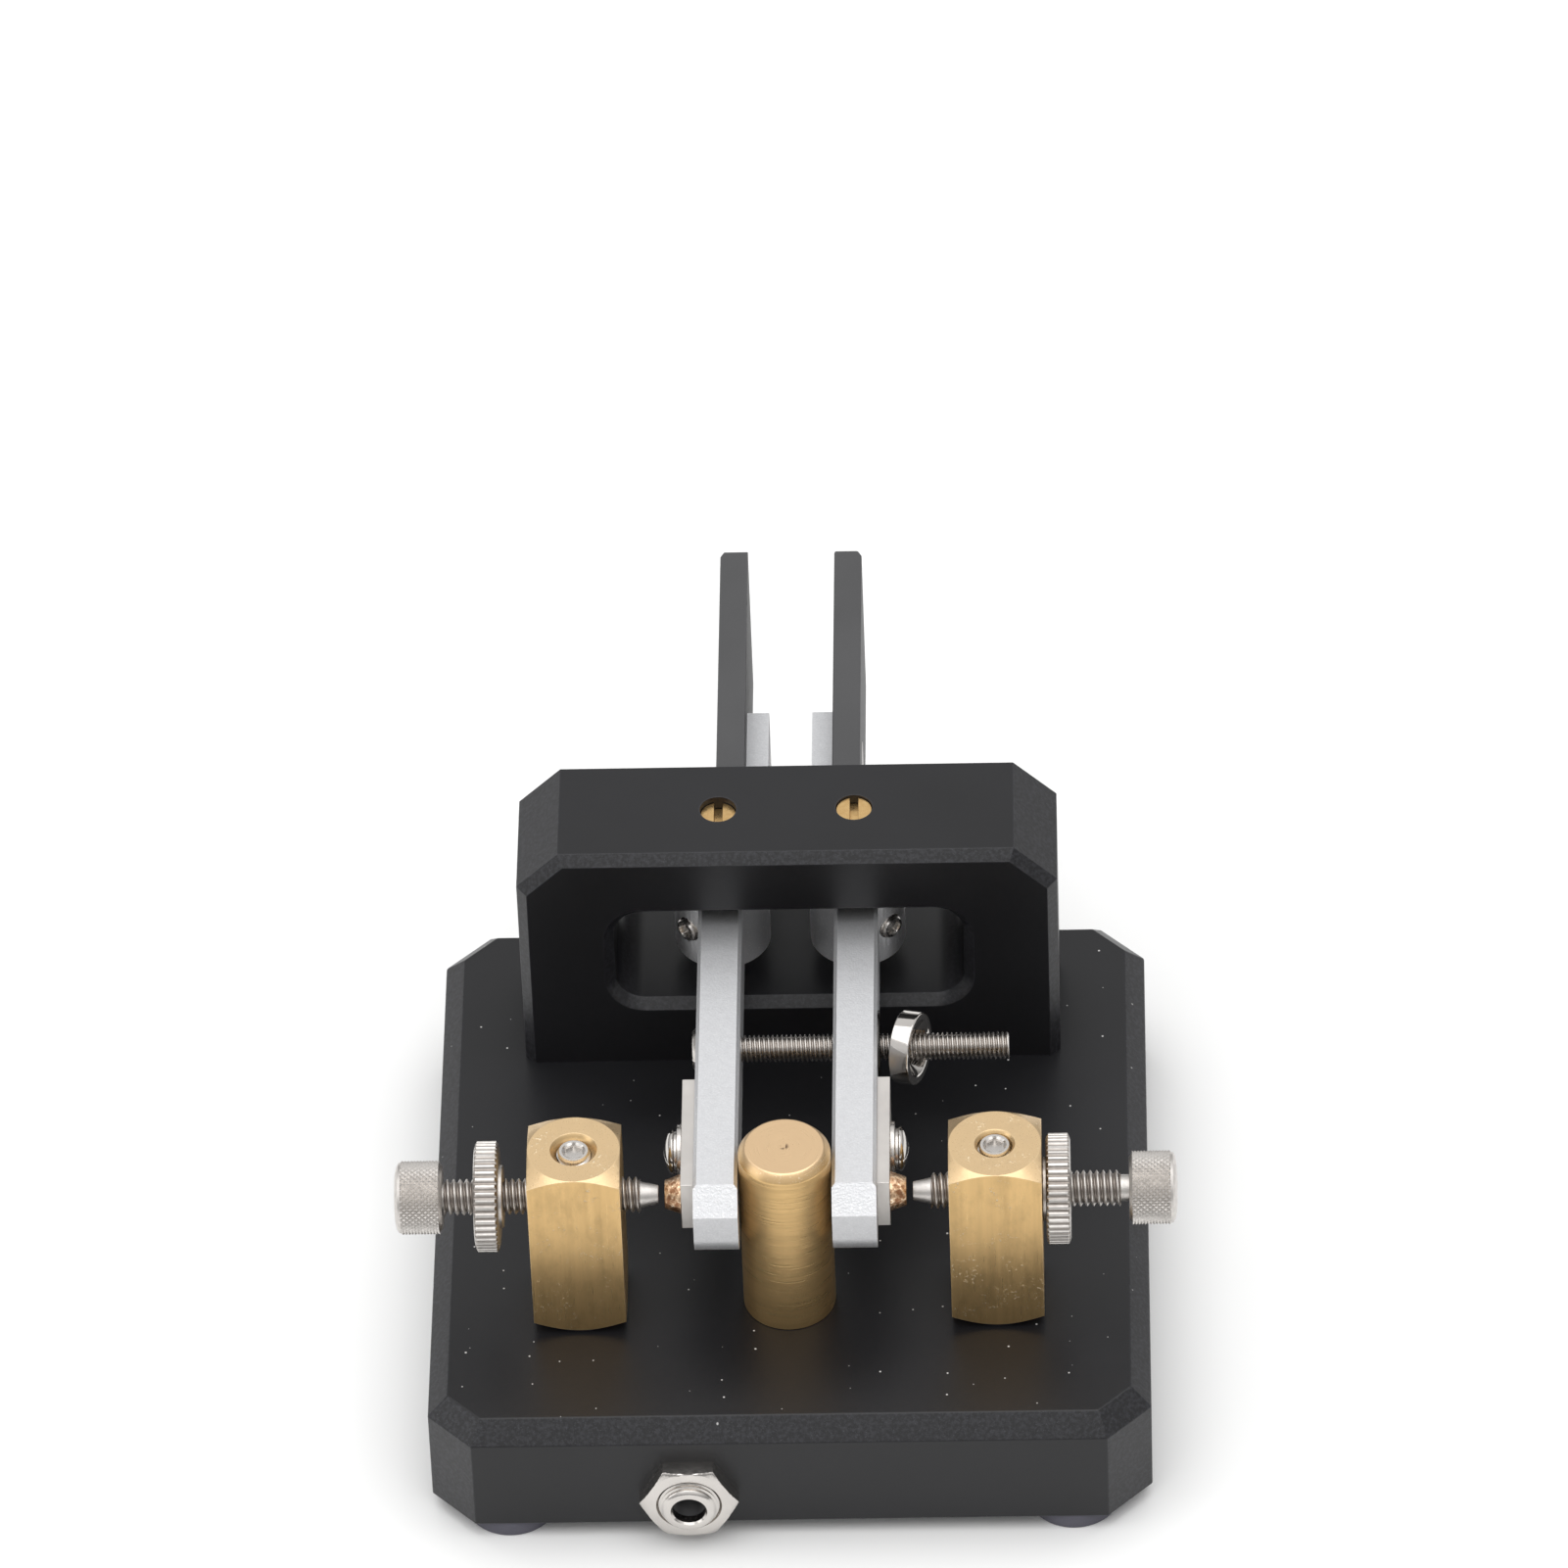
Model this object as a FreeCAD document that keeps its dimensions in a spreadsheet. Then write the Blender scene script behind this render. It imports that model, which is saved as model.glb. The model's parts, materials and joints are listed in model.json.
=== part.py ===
"""Twin-lever morse key: a parametric assembly, one named object for each piece.

Units are millimetres.  +Z is up, +X is the right-hand lever's side and +Y points
at the finger plates.  The origin is the middle of the base block's underside; the
rubber feet reach below it.  Lengths live in the spreadsheet Dims, and every shape
is bound to its cells.
"""
import FreeCAD, Part
import math
import os
import re
import Sketcher

Vector = FreeCAD.Vector
Rotation = FreeCAD.Rotation
Placement = FreeCAD.Placement

doc = FreeCAD.newDocument("morse_key")
sheet = doc.addObject("Spreadsheet::Sheet", "Dims")

DIMENSIONS = {
    # base block and its rubber feet
    "base_wide": 78.0,
    "base_deep": 80.0,
    "base_high": 14.0,
    "base_corner": 4.8,
    "base_bevel": 2.2,
    "foot_high": 2.0,
    "foot_wide": 10.0,
    "foot_aside": 8.5,
    "foot_inset": 5.1,
    # bridge frame that holds both pivots
    "frame_wide": 59.2,
    "frame_deep": 16.0,
    "frame_high": 30.3,
    "frame_back": 6.5,
    "frame_corner": 4.7,
    "frame_bevel": 1.1,
    "window_wide": 38.4,
    "window_sill": 8.8,
    "window_high": 12.8,
    "window_round": 3.3,
    "frame_screw_aside": 24.6,
    "frame_screw_long": 16.0,
    # levers
    "axis_high": 15.9,
    "arm_thick": 4.8,
    "arm_high": 9.0,
    "arm_nose": 5.8,
    "nose_slope": 2.6,
    "nose_round": 3.0,
    "arm_edge": 0.4,
    "rest_gap": 0.05,
    "boss_wide": 10.5,
    "tail_thick": 2.45,
    "tail_inset": 0.2,
    "tail_end": 52.1,
    # finger plates
    "plate_thick": 3.1,
    "plate_high": 20.0,
    "plate_long": 37.1,
    "plate_gap": 2.5,
    "plate_corner": 0.8,
    "plate_screw_first": 5.0,
    "plate_screw_pitch": 7.5,
    "plate_sink": 1.2,
    "plate_slot_wide": 0.5,
    "plate_slot_deep": 0.3,
    # pivots
    "shaft_wide": 3.0,
    "pintle_wide": 2.0,
    "pintle_long": 1.6,
    "pivot_screw_wide": 3.9,
    "pivot_end_gap": 0.1,
    "pivot_under": 0.3,
    "set_screw_wide": 2.9,
    "set_screw_proud": 0.4,
    "set_socket_wide": 1.5,
    "set_socket_deep": 1.4,
    "pivot_sink_left": 0.8,
    "pivot_sink_right": 0.3,
    "slot_wide": 0.9,
    "slot_deep": 0.9,
    # contact strips on the levers, with their rivets and screws
    "strip_thick": 1.4,
    "strip_high": 6.4,
    "strip_long": 16.5,
    "strip_front": 2.0,
    "rivet_wide": 4.3,
    "rivet_tip": 3.1,
    "rivet_long": 1.75,
    "rivet_stem": 2.0,
    "strip_screw_back": 6.5,
    "strip_screw_head": 4.9,
    "strip_dome": 1.1,
    "strip_screw_short": 0.5,
    "strip_slot_wide": 0.7,
    "strip_slot_deep": 0.6,
    "spring_washer_wide": 4.5,
    "spring_washer_thick": 0.4,
    "washer_wide": 6.0,
    "washer_thick": 0.5,
    "small_thread": 2.4,
    # posts
    "post_front": 20.0,
    "post_wide": 10.0,
    "post_high": 22.8,
    "post_aside": 22.6,
    "post_face_inset": 0.05,
    "post_slope": 0.577,
    "pad_thick": 0.4,
    "pad_inset": 0.2,
    "centre_post_wide": 10.0,
    "centre_rim": 0.75,
    "rim_drop": 0.95,
    "grub_wide": 3.7,
    "grub_gap": 0.05,
    "left_grub_sink": 0.35,
    "right_grub_sink": 0.15,
    "left_recess_wide": 5.1,
    "right_recess_wide": 4.4,
    "left_recess_deep": 0.9,
    "right_recess_deep": 0.35,
    "socket_wide": 2.0,
    "socket_deep": 1.6,
    # contact screws and their lock rings
    "contact_gap": 0.7,
    "screw_wide": 3.9,
    "screw_tip": 2.0,
    "cone_wide": 2.85,
    "cone_long": 1.95,
    "thread_long": 20.4,
    "neck_wide": 3.0,
    "neck_long": 0.9,
    "head_wide": 8.0,
    "head_long": 5.2,
    "head_round": 0.7,
    "ring_wide": 12.0,
    "ring_thick": 2.65,
    "ring_edge": 0.35,
    "hub_wide": 6.8,
    "hub_thick": 0.4,
    "left_ring_gap": 2.8,
    "right_ring_gap": 0.02,
    # tension screw and the two ring magnets
    "tension_back": 22.5,
    "tension_wide": 3.0,
    "tension_end": 24.1,
    "tension_head": 5.0,
    "tension_proud": 0.5,
    "tension_sunk": 1.0,
    "tension_slot_wide": 0.8,
    "tension_slot_deep": 0.6,
    "magnet_wide": 8.0,
    "magnet_thick": 2.2,
    "magnet_bore": 3.75,
    "magnet_flare": 6.2,
    "magnet_flare_deep": 1.45,
    "magnet_place": 2.8,
    "arm_magnet_thick": 2.0,
    "arm_magnet_proud": 0.25,
    "screw_way": 4.6,
    # plug socket in the front face
    "jack_aside": 10.95,
    "jack_up": 4.5,
    "jack_barrel": 6.7,
    "jack_bore": 3.6,
    "jack_bore_long": 14.0,
    "jack_mouth": 0.2,
    "jack_nut": 9.3,
    "jack_nut_thick": 2.0,
    "jack_proud": 1.0,
    "jack_wall": 3.5,
    "jack_body_wide": 9.0,
    "jack_body_high": 8.0,
    "jack_body_long": 11.0,
    "lead_long": 1.5,
    "lead_wide": 1.6,
    "lead_thick": 0.4,
    "lead_apart": 2.6,
    # screws, lugs and insulators under the base
    "channel_deep": 5.0,
    "channel_wide": 8.6,
    "channel_over": 5.0,
    "post_screw_wide": 3.9,
    "post_screw_in": 6.0,
    "pan_head_wide": 7.0,
    "pan_head_high": 2.4,
    "cap_socket_wide": 3.0,
    "cap_head_wide": 7.0,
    "cap_head_high": 4.0,
    "screw_sink": 0.4,
    "bush_wide": 6.0,
    "flange_wide": 8.0,
    "flange_thick": 1.0,
    "lug_wide": 7.0,
    "lug_thick": 0.6,
    "lug_reach": 6.0,
    "lug_tab": 2.4,
    "lug_rim": 0.5,
    "wire_wide": 1.0,
    "wire_bend": 1.8,
    "wire_dip": 2.2,
    "wire_pass": 3.6,
    # clearances, and how far a cutting tool runs past what it cuts
    "fit_gap": 0.05,
    "cut_past": 1.0,
    "thread_runout": 0.5,
    "pivot_gap": 0.03,
    "pocket_gap": 0.25,
}

for row, (alias, value) in enumerate(DIMENSIONS.items(), start=1):
    sheet.set("A%d" % row, alias)
    sheet.set("B%d" % row, str(value))
    sheet.setAlias("B%d" % row, alias)
doc.recompute()

# places that several pieces share, as expressions of the sheet's cells
BASE_TOP = "base_high"
AXIS = "(base_high + axis_high)"
ARM_LOW = "(base_high + axis_high - arm_high / 2)"
ARM_X = "(centre_post_wide / 2 + rest_gap + arm_thick / 2)"
ARM_OUT = "(centre_post_wide / 2 + rest_gap + arm_thick)"
STRIP_OUT = "(centre_post_wide / 2 + rest_gap + arm_thick + strip_thick)"
TIP_X = "(centre_post_wide / 2 + rest_gap + arm_thick + strip_thick + rivet_long + contact_gap)"
FRAME_Y = "(base_deep / 2 - frame_back - frame_deep / 2)"
POST_Y = "(-post_front)"
TENSION_Y = "(tension_back - post_front)"
TAIL_IN = "(%s - boss_wide / 2 + tail_inset)" % ARM_X
TAIL_OUT = "(%s + tail_thick)" % TAIL_IN
PLATE_Y = "(base_deep / 2 - frame_back + plate_gap)"
JACK_X = "(-jack_aside)"
JACK_Z = "jack_up"
CHANNEL_TOP = "channel_deep"
LUG_LOW = "(channel_deep - flange_thick - lug_thick)"

# the way that the loose magnet's face points
MAGNET_LEAN = (0.944, -0.313, 0.108)

SIDES = (("left", -1), ("right", 1))


def words(expression):
    """Put the sheet's name in front of each of its aliases."""
    def prefixed(match):
        word = match.group(0)
        return "Dims." + word if word in DIMENSIONS else word
    return re.sub(r"[a-z_]+", prefixed, str(expression))


def value(expression):
    """The number that an expression of the sheet's aliases gives now."""
    result = sheet.evalExpression(str(expression))
    return float(getattr(result, "Value", result))


def bind(piece, **properties):
    for name, expression in properties.items():
        piece.setExpression(name, words(expression))


def put(piece, place, turn=None):
    """Give a piece its turn, and bind its place to the sheet."""
    piece.Placement = Placement(Vector(0, 0, 0), turn or Rotation())
    for letter, expression in zip("xyz", place):
        piece.setExpression("Placement.Base." + letter, words(expression))


def towards(direction):
    """The turn that takes +Z to a direction."""
    return Rotation(Vector(0, 0, 1), Vector(*direction))


def block(name, size, corner):
    """A box from its lowest corner."""
    piece = doc.addObject("Part::Box", name)
    bind(piece, Length=size[0], Width=size[1], Height=size[2])
    put(piece, corner)
    return piece


def rod(name, wide, long, start, direction=(0, 0, 1)):
    piece = doc.addObject("Part::Cylinder", name)
    bind(piece, Radius="(%s) / 2" % wide, Height=long)
    put(piece, start, towards(direction))
    return piece


def taper(name, wide, end_wide, long, start, direction=(0, 0, 1)):
    piece = doc.addObject("Part::Cone", name)
    bind(piece, Radius1="(%s) / 2" % wide, Radius2="(%s) / 2" % end_wide, Height=long)
    put(piece, start, towards(direction))
    return piece


def prism(name, flats, long, start, direction=(0, 0, 1)):
    """A hexagonal prism, sized across its flats."""
    piece = doc.addObject("Part::Prism", name)
    piece.Polygon = 6
    bind(piece, Circumradius="(%s) / sqrt(3)" % flats, Height=long)
    put(piece, start, towards(direction))
    return piece


def joined(name, *pieces):
    result = doc.addObject("Part::MultiFuse", name)
    result.Shapes = list(pieces)
    result.Refine = True
    return result


def common(name, first, second):
    result = doc.addObject("Part::Common", name)
    result.Base = first
    result.Tool = second
    return result


def cut(name, body, *tools):
    result = doc.addObject("Part::Cut", name)
    result.Base = body
    result.Tool = tools[0] if len(tools) == 1 else joined(name + "_tools", *tools)
    result.Refine = True
    return result


def group(name, pieces):
    """Like pieces in one node, each a solid of its own."""
    result = doc.addObject("Part::Compound", name)
    result.Links = pieces
    return result


def turned(name, start, direction, steps):
    """A lathe-turned piece: (start width, end width, length) for each step along its axis."""
    pieces = []
    done = "0"
    for number, (wide, end_wide, long) in enumerate(steps):
        place = ["%s + (%s) * (%s)" % (base, part, done) for base, part in zip(start, direction)]
        step_name = "%s_step_%d" % (name, number)
        if wide == end_wide:
            pieces.append(rod(step_name, wide, long, place, direction))
        else:
            pieces.append(taper(step_name, wide, end_wide, long, place, direction))
        done = "%s + %s" % (done, long)
    return pieces[0] if len(pieces) == 1 else joined(name, *pieces)


PARTS = []


def node(name, piece):
    """Register a finished piece: its label is the name of its file."""
    piece.Label = name
    PARTS.append((name, piece))
    return piece


# ---- helpers for the PartDesign bodies ----

def origin_plane(body, role):
    return next(item for item in body.Origin.OriginFeatures if item.Role == role)


def outline(body, name, role, corners):
    """A closed polygon sketch, with each corner's two coordinates bound to the sheet."""
    sketch = body.newObject("Sketcher::SketchObject", name)
    sketch.AttachmentSupport = [(origin_plane(body, role), "")]
    sketch.MapMode = "FlatFace"
    points = [Vector(value(across), value(up), 0) for across, up in corners]
    count = len(points)
    for index in range(count):
        sketch.addGeometry(Part.LineSegment(points[index], points[(index + 1) % count]), False)
    for index in range(count):
        sketch.addConstraint(Sketcher.Constraint("Coincident", index, 2, (index + 1) % count, 1))
    for index, (across, up) in enumerate(corners):
        for kind, expression, number in (("DistanceX", across, points[index].x),
                                         ("DistanceY", up, points[index].y)):
            place = sketch.addConstraint(Sketcher.Constraint(kind, -1, 1, index, 1, number))
            sketch.setExpression("Constraints[%d]" % place, words(expression))
    return sketch


def pad(body, name, sketch, length, both_ways=False):
    feature = body.newObject("PartDesign::Pad", name)
    feature.Profile = sketch
    feature.Midplane = both_ways
    bind(feature, Length=length)
    doc.recompute()
    return feature


def edges_where(feature, test):
    """Names of a feature's edges whose every vertex and middle pass a test."""
    names = []
    for index, edge in enumerate(feature.Shape.Edges, start=1):
        middle = edge.valueAt((edge.FirstParameter + edge.LastParameter) / 2)
        points = [vertex.Point for vertex in edge.Vertexes] + [middle]
        if all(test(point) for point in points):
            names.append("Edge%d" % index)
    return names


def dressed(body, kind, name, feature, edges, **sizes):
    """A chamfer or a fillet on the named edges."""
    result = body.newObject("PartDesign::" + kind, name)
    result.Base = (feature, edges)
    bind(result, **sizes)
    doc.recompute()
    return result


def shaped(body, name, kind, place, turn=None, **sizes):
    """An additive or subtractive primitive inside a body."""
    feature = body.newObject("PartDesign::" + kind, name)
    bind(feature, **sizes)
    put(feature, place, turn)
    doc.recompute()
    return feature


def near(first, second):
    return abs(first - second) < 1e-4


# ---- base block ----

def make_base_plate():
    body = doc.addObject("PartDesign::Body", "base_plate")
    wide = "base_wide / 2"
    deep = "base_deep / 2"
    corners = []
    for across, along, first in ((1, -1, 0), (1, 1, 1), (-1, 1, 0), (-1, -1, 1)):
        pair = [("%d * (%s - base_corner)" % (across, wide), "%d * %s" % (along, deep)),
                ("%d * %s" % (across, wide), "%d * (%s - base_corner)" % (along, deep))]
        corners += pair if first == 0 else pair[::-1]
    sketch = outline(body, "base_outline", "XY_Plane", corners)
    blank = pad(body, "base_blank", sketch, "base_high")
    top = value(BASE_TOP)
    rim = edges_where(blank, lambda point: near(point.z, top))
    dressed(body, "Chamfer", "base_top_bevel", blank, rim, Size="base_bevel")

    down = towards((0, 0, -1))
    forward = towards((0, -1, 0))
    # wiring channel under the three posts
    shaped(body, "channel", "SubtractiveBox",
           ("-post_aside - channel_over", "%s - channel_wide / 2" % POST_Y, "0"),
           Length="2 * (post_aside + channel_over)", Width="channel_wide", Height="channel_deep")
    # pocket and bore for the plug socket
    shaped(body, "jack_pocket", "SubtractiveBox",
           ("%s - jack_body_wide / 2 - pocket_gap" % JACK_X, "-base_deep / 2 + jack_wall", "0"),
           Length="jack_body_wide + 2 * pocket_gap",
           Width="base_deep / 2 - jack_wall - post_front",
           Height="jack_up + jack_body_high / 2 + pocket_gap")
    shaped(body, "jack_hole", "SubtractiveCylinder",
           (JACK_X, "-base_deep / 2 + jack_wall + cut_past", JACK_Z), forward,
           Radius="jack_barrel / 2 + fit_gap", Height="jack_wall + 2 * cut_past")
    # holes for the screws that hold the posts
    for name, across, radius in (("left_post_hole", "-post_aside", "bush_wide / 2 + fit_gap"),
                                 ("right_post_hole", "post_aside", "bush_wide / 2 + fit_gap"),
                                 ("centre_post_hole", "0", "post_screw_wide / 2 + fit_gap")):
        shaped(body, name, "SubtractiveCylinder", (across, POST_Y, BASE_TOP + " + cut_past"), down,
               Radius=radius, Height="base_high - channel_deep + 2 * cut_past")
    # counterbored holes for the screws that hold the frame
    for side, sign in SIDES:
        across = "%d * frame_screw_aside" % sign
        shaped(body, side + "_frame_hole", "SubtractiveCylinder", (across, FRAME_Y, BASE_TOP + " + cut_past"),
               down, Radius="post_screw_wide / 2 + fit_gap", Height="base_high + 2 * cut_past")
        shaped(body, side + "_frame_counterbore", "SubtractiveCylinder", (across, FRAME_Y, "-cut_past"),
               Radius="cap_head_wide / 2 + pocket_gap", Height="screw_sink + cap_head_high + cut_past")
    return node("base_plate", body)


def make_feet():
    pieces = []
    for side, sign in SIDES:
        for end, along in (("front", -1), ("back", 1)):
            place = ("%d * (base_wide / 2 - foot_aside)" % sign,
                     "%d * (base_deep / 2 - foot_inset)" % along, "-foot_high")
            pieces.append(rod("%s_%s_foot" % (end, side), "foot_wide", "foot_high", place))
    return node("rubber_feet", group("rubber_feet", pieces))


# ---- bridge frame ----

def make_pivot_frame():
    body = doc.addObject("PartDesign::Body", "pivot_frame")
    half = "frame_wide / 2"
    top = "(%s + frame_high)" % BASE_TOP
    shape = [("-" + half, BASE_TOP), (half, BASE_TOP),
             (half, top + " - frame_corner"), (half + " - frame_corner", top),
             ("-(%s - frame_corner)" % half, top), ("-" + half, top + " - frame_corner")]
    sketch = outline(body, "frame_outline", "XZ_Plane", shape)
    bind(sketch, **{"AttachmentOffset.Base.z": "-(%s)" % FRAME_Y})
    blank = pad(body, "frame_blank", sketch, "frame_deep", both_ways=True)
    window = shaped(body, "frame_window", "SubtractiveBox",
                    ("-window_wide / 2", "%s - frame_deep / 2 - cut_past" % FRAME_Y,
                     BASE_TOP + " + window_sill"),
                    Length="window_wide", Width="frame_deep + 2 * cut_past", Height="window_high")
    side = value("window_wide / 2")
    sill = value(BASE_TOP + " + window_sill")
    lintel = value(BASE_TOP + " + window_sill + window_high")
    inner = edges_where(window, lambda p: near(abs(p.x), side) and (near(p.z, sill) or near(p.z, lintel)))
    rounded = dressed(body, "Fillet", "window_corners", window, inner, Radius="window_round")
    floor = value(BASE_TOP)
    front = value("%s - frame_deep / 2" % FRAME_Y)
    back = value("%s + frame_deep / 2" % FRAME_Y)

    def on_a_face(point):
        return near(point.y, front) or near(point.y, back)

    rims = [name for name in edges_where(rounded, on_a_face)
            if name not in edges_where(rounded, lambda p: near(p.z, floor))
            and (name in edges_where(rounded, lambda p: near(p.y, front))
                 or name in edges_where(rounded, lambda p: near(p.y, back)))]
    dressed(body, "Chamfer", "frame_bevels", rounded, rims, Size="frame_bevel")
    down = towards((0, 0, -1))
    for side, sign in SIDES:
        across = "%d * %s" % (sign, ARM_X)
        shaped(body, side + "_pivot_hole", "SubtractiveCylinder",
               (across, FRAME_Y, top + " + cut_past"), down,
               Radius="pivot_screw_wide / 2 + fit_gap", Height="frame_high + 2 * cut_past")
        shaped(body, side + "_fixing_hole", "SubtractiveCylinder",
               ("%d * frame_screw_aside" % sign, FRAME_Y, BASE_TOP + " - cut_past"),
               Radius="post_screw_wide / 2 + fit_gap",
               Height="screw_sink + cap_head_high + frame_screw_long - base_high + thread_runout + cut_past")
    return node("pivot_frame", body)


def make_frame_screws():
    pieces = []
    for side, sign in SIDES:
        start = ("%d * frame_screw_aside" % sign, FRAME_Y, "screw_sink")
        blank = turned(side + "_frame_screw", start, (0, 0, 1),
                       [("cap_head_wide", "cap_head_wide", "cap_head_high"),
                        ("post_screw_wide", "post_screw_wide", "frame_screw_long")])
        socket = prism(side + "_frame_socket", "cap_socket_wide", "cap_head_high / 2", start)
        pieces.append(cut(side + "_frame_screw_cut", blank, socket))
    return node("frame_screws", group("frame_screws", pieces))


# ---- levers and what rides on them ----

def make_arm(side, sign):
    """A lever: flat bar with a sloped nose, round boss at the pivot, thin tail."""
    body = doc.addObject("PartDesign::Body", side + "_arm")
    low = ARM_LOW
    high = "(%s + arm_high)" % ARM_LOW
    front = "(%s - arm_nose)" % POST_Y
    profile = [(front, low), (FRAME_Y, low), (FRAME_Y, high),
               (front + " + nose_slope", high), (front, high + " - nose_slope")]
    sketch = outline(body, side + "_arm_side", "YZ_Plane", profile)
    bind(sketch, **{"AttachmentOffset.Base.z": "%d * %s" % (sign, ARM_X)})
    bar = pad(body, side + "_arm_bar", sketch, "arm_thick", both_ways=True)
    nose = value(front)
    bottom = value(low)
    top = value(high)
    under = edges_where(bar, lambda p: near(p.y, nose) and near(p.z, bottom))
    rounded = dressed(body, "Fillet", side + "_arm_nose", bar, under, Radius="nose_round")
    long_edges = [name for name in edges_where(rounded, lambda p: near(p.z, top))
                  if rounded.Shape.Edges[int(name[4:]) - 1].Length > value("boss_wide")]
    dressed(body, "Chamfer", side + "_arm_edges", rounded, long_edges, Size="arm_edge")
    across = "%d * %s" % (sign, ARM_X)
    shaped(body, side + "_boss", "AdditiveCylinder", (across, FRAME_Y, low),
           Radius="boss_wide / 2", Height="arm_high")
    inner = TAIL_IN if sign > 0 else "-" + TAIL_OUT
    shaped(body, side + "_tail", "AdditiveBox", (inner, FRAME_Y, low),
           Length="tail_thick", Width="tail_end - (%s)" % FRAME_Y, Height="arm_high")

    outward = towards((sign, 0, 0))
    shaped(body, side + "_shaft_bore", "SubtractiveCylinder", (across, FRAME_Y, low + " - cut_past"),
           Radius="shaft_wide / 2 + fit_gap", Height="arm_high + 2 * cut_past")
    diagonal = (sign * 0.5 ** 0.5, -0.5 ** 0.5, 0)
    shaped(body, side + "_set_screw_bore", "SubtractiveCylinder", (across, FRAME_Y, AXIS),
           towards(diagonal), Radius="set_screw_wide / 2 + fit_gap", Height="boss_wide")
    inside = "%d * (%s - arm_thick)" % (sign, ARM_OUT)
    shaped(body, side + "_rivet_bore", "SubtractiveCylinder", (inside, POST_Y, AXIS), outward,
           Radius="rivet_stem / 2 + fit_gap", Height="arm_thick + cut_past")
    shaped(body, side + "_strip_bore", "SubtractiveCylinder",
           (inside, POST_Y + " + strip_screw_back", AXIS), outward,
           Radius="small_thread / 2 + fit_gap", Height="arm_thick + cut_past")
    for number in (0, 1):
        along = "%s + plate_screw_first + %d * plate_screw_pitch" % (PLATE_Y, number)
        shaped(body, "%s_plate_bore_%d" % (side, number), "SubtractiveCylinder",
               ("%d * (%s - cut_past)" % (sign, TAIL_IN), along, AXIS), outward,
               Radius="small_thread / 2 + fit_gap", Height="tail_thick + 2 * cut_past")
    if sign < 0:
        shaped(body, "left_tension_bore", "SubtractiveCylinder", (inside, TENSION_Y, AXIS), outward,
               Radius="tension_wide / 2 + fit_gap", Height="arm_thick + cut_past")
        shaped(body, "left_countersink", "SubtractiveCone",
               ("-(%s - tension_sunk)" % ARM_OUT, TENSION_Y, AXIS), outward,
               Radius1="tension_wide / 2 + fit_gap", Radius2="tension_head / 2 + fit_gap",
               Height="tension_sunk")
    else:
        shaped(body, "right_tension_way", "SubtractiveCylinder", (inside + " - cut_past", TENSION_Y, AXIS),
               outward, Radius="screw_way / 2", Height="arm_thick + 2 * cut_past")
        shaped(body, "right_magnet_seat", "SubtractiveCylinder",
               ("%s - arm_magnet_thick + arm_magnet_proud" % ARM_OUT, TENSION_Y, AXIS), outward,
               Radius="magnet_wide / 2 + fit_gap", Height="arm_magnet_thick")
    return node(side + "_arm", body)


def make_finger_plate(side, sign):
    body = doc.addObject("PartDesign::Body", side + "_finger_plate")
    inner = "%d * %s" % (sign, TAIL_OUT)
    outer = "%d * (%s + plate_thick)" % (sign, TAIL_OUT)
    outer_cut = "%d * (%s + plate_thick - plate_corner / 2)" % (sign, TAIL_OUT)
    far = "(%s + plate_long)" % PLATE_Y
    shape = [(inner, PLATE_Y), (outer, PLATE_Y), (outer, far + " - plate_corner"),
             (outer_cut, far), (inner, far)]
    sketch = outline(body, side + "_plate_outline", "XY_Plane", shape)
    bind(sketch, **{"AttachmentOffset.Base.z": "%s - plate_high / 2" % AXIS})
    pad(body, side + "_plate_blank", sketch, "plate_high")
    outward = towards((sign, 0, 0))
    for number in (0, 1):
        along = "%s + plate_screw_first + %d * plate_screw_pitch" % (PLATE_Y, number)
        shaped(body, "%s_plate_hole_%d" % (side, number), "SubtractiveCylinder",
               ("%d * (%s - cut_past)" % (sign, TAIL_OUT), along, AXIS), outward,
               Radius="small_thread / 2 + fit_gap", Height="plate_thick + 2 * cut_past")
        shaped(body, "%s_plate_sink_%d" % (side, number), "SubtractiveCone",
               ("%d * (%s + plate_thick - plate_sink)" % (sign, TAIL_OUT), along, AXIS), outward,
               Radius1="small_thread / 2 + fit_gap", Radius2="small_thread / 2 + plate_sink + fit_gap",
               Height="plate_sink")
    return node(side + "_finger_plate", body)


def make_plate_screws(side, sign):
    pieces = []
    for number in (0, 1):
        along = "%s + plate_screw_first + %d * plate_screw_pitch" % (PLATE_Y, number)
        start = ("%d * (%s + plate_thick)" % (sign, TAIL_OUT), along, AXIS)
        name = "%s_plate_screw_%d" % (side, number)
        blank = turned(name, start, (-sign, 0, 0),
                       [("small_thread + 2 * plate_sink", "small_thread", "plate_sink"),
                        ("small_thread", "small_thread", "plate_thick + tail_thick - plate_sink")])
        across = "(small_thread + 2 * plate_sink + cut_past)"
        slot = block(name + "_slot", ("2 * plate_slot_deep", across, "plate_slot_wide"),
                     ("%s - plate_slot_deep" % start[0], "%s - %s / 2" % (along, across),
                      AXIS + " - plate_slot_wide / 2"))
        pieces.append(cut(name + "_cut", blank, slot))
    return node(side + "_plate_screws", group(side + "_plate_screws", pieces))


def make_pivot_shaft(side, sign):
    start = ("%d * %s" % (sign, ARM_X), FRAME_Y, ARM_LOW + " - pintle_long")
    return node(side + "_pivot_shaft",
                turned(side + "_pivot_shaft", start, (0, 0, 1),
                       [("pintle_wide", "pintle_wide", "pintle_long"),
                        ("shaft_wide", "shaft_wide", "arm_high"),
                        ("pintle_wide", "pintle_wide", "pintle_long")]))


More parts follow.
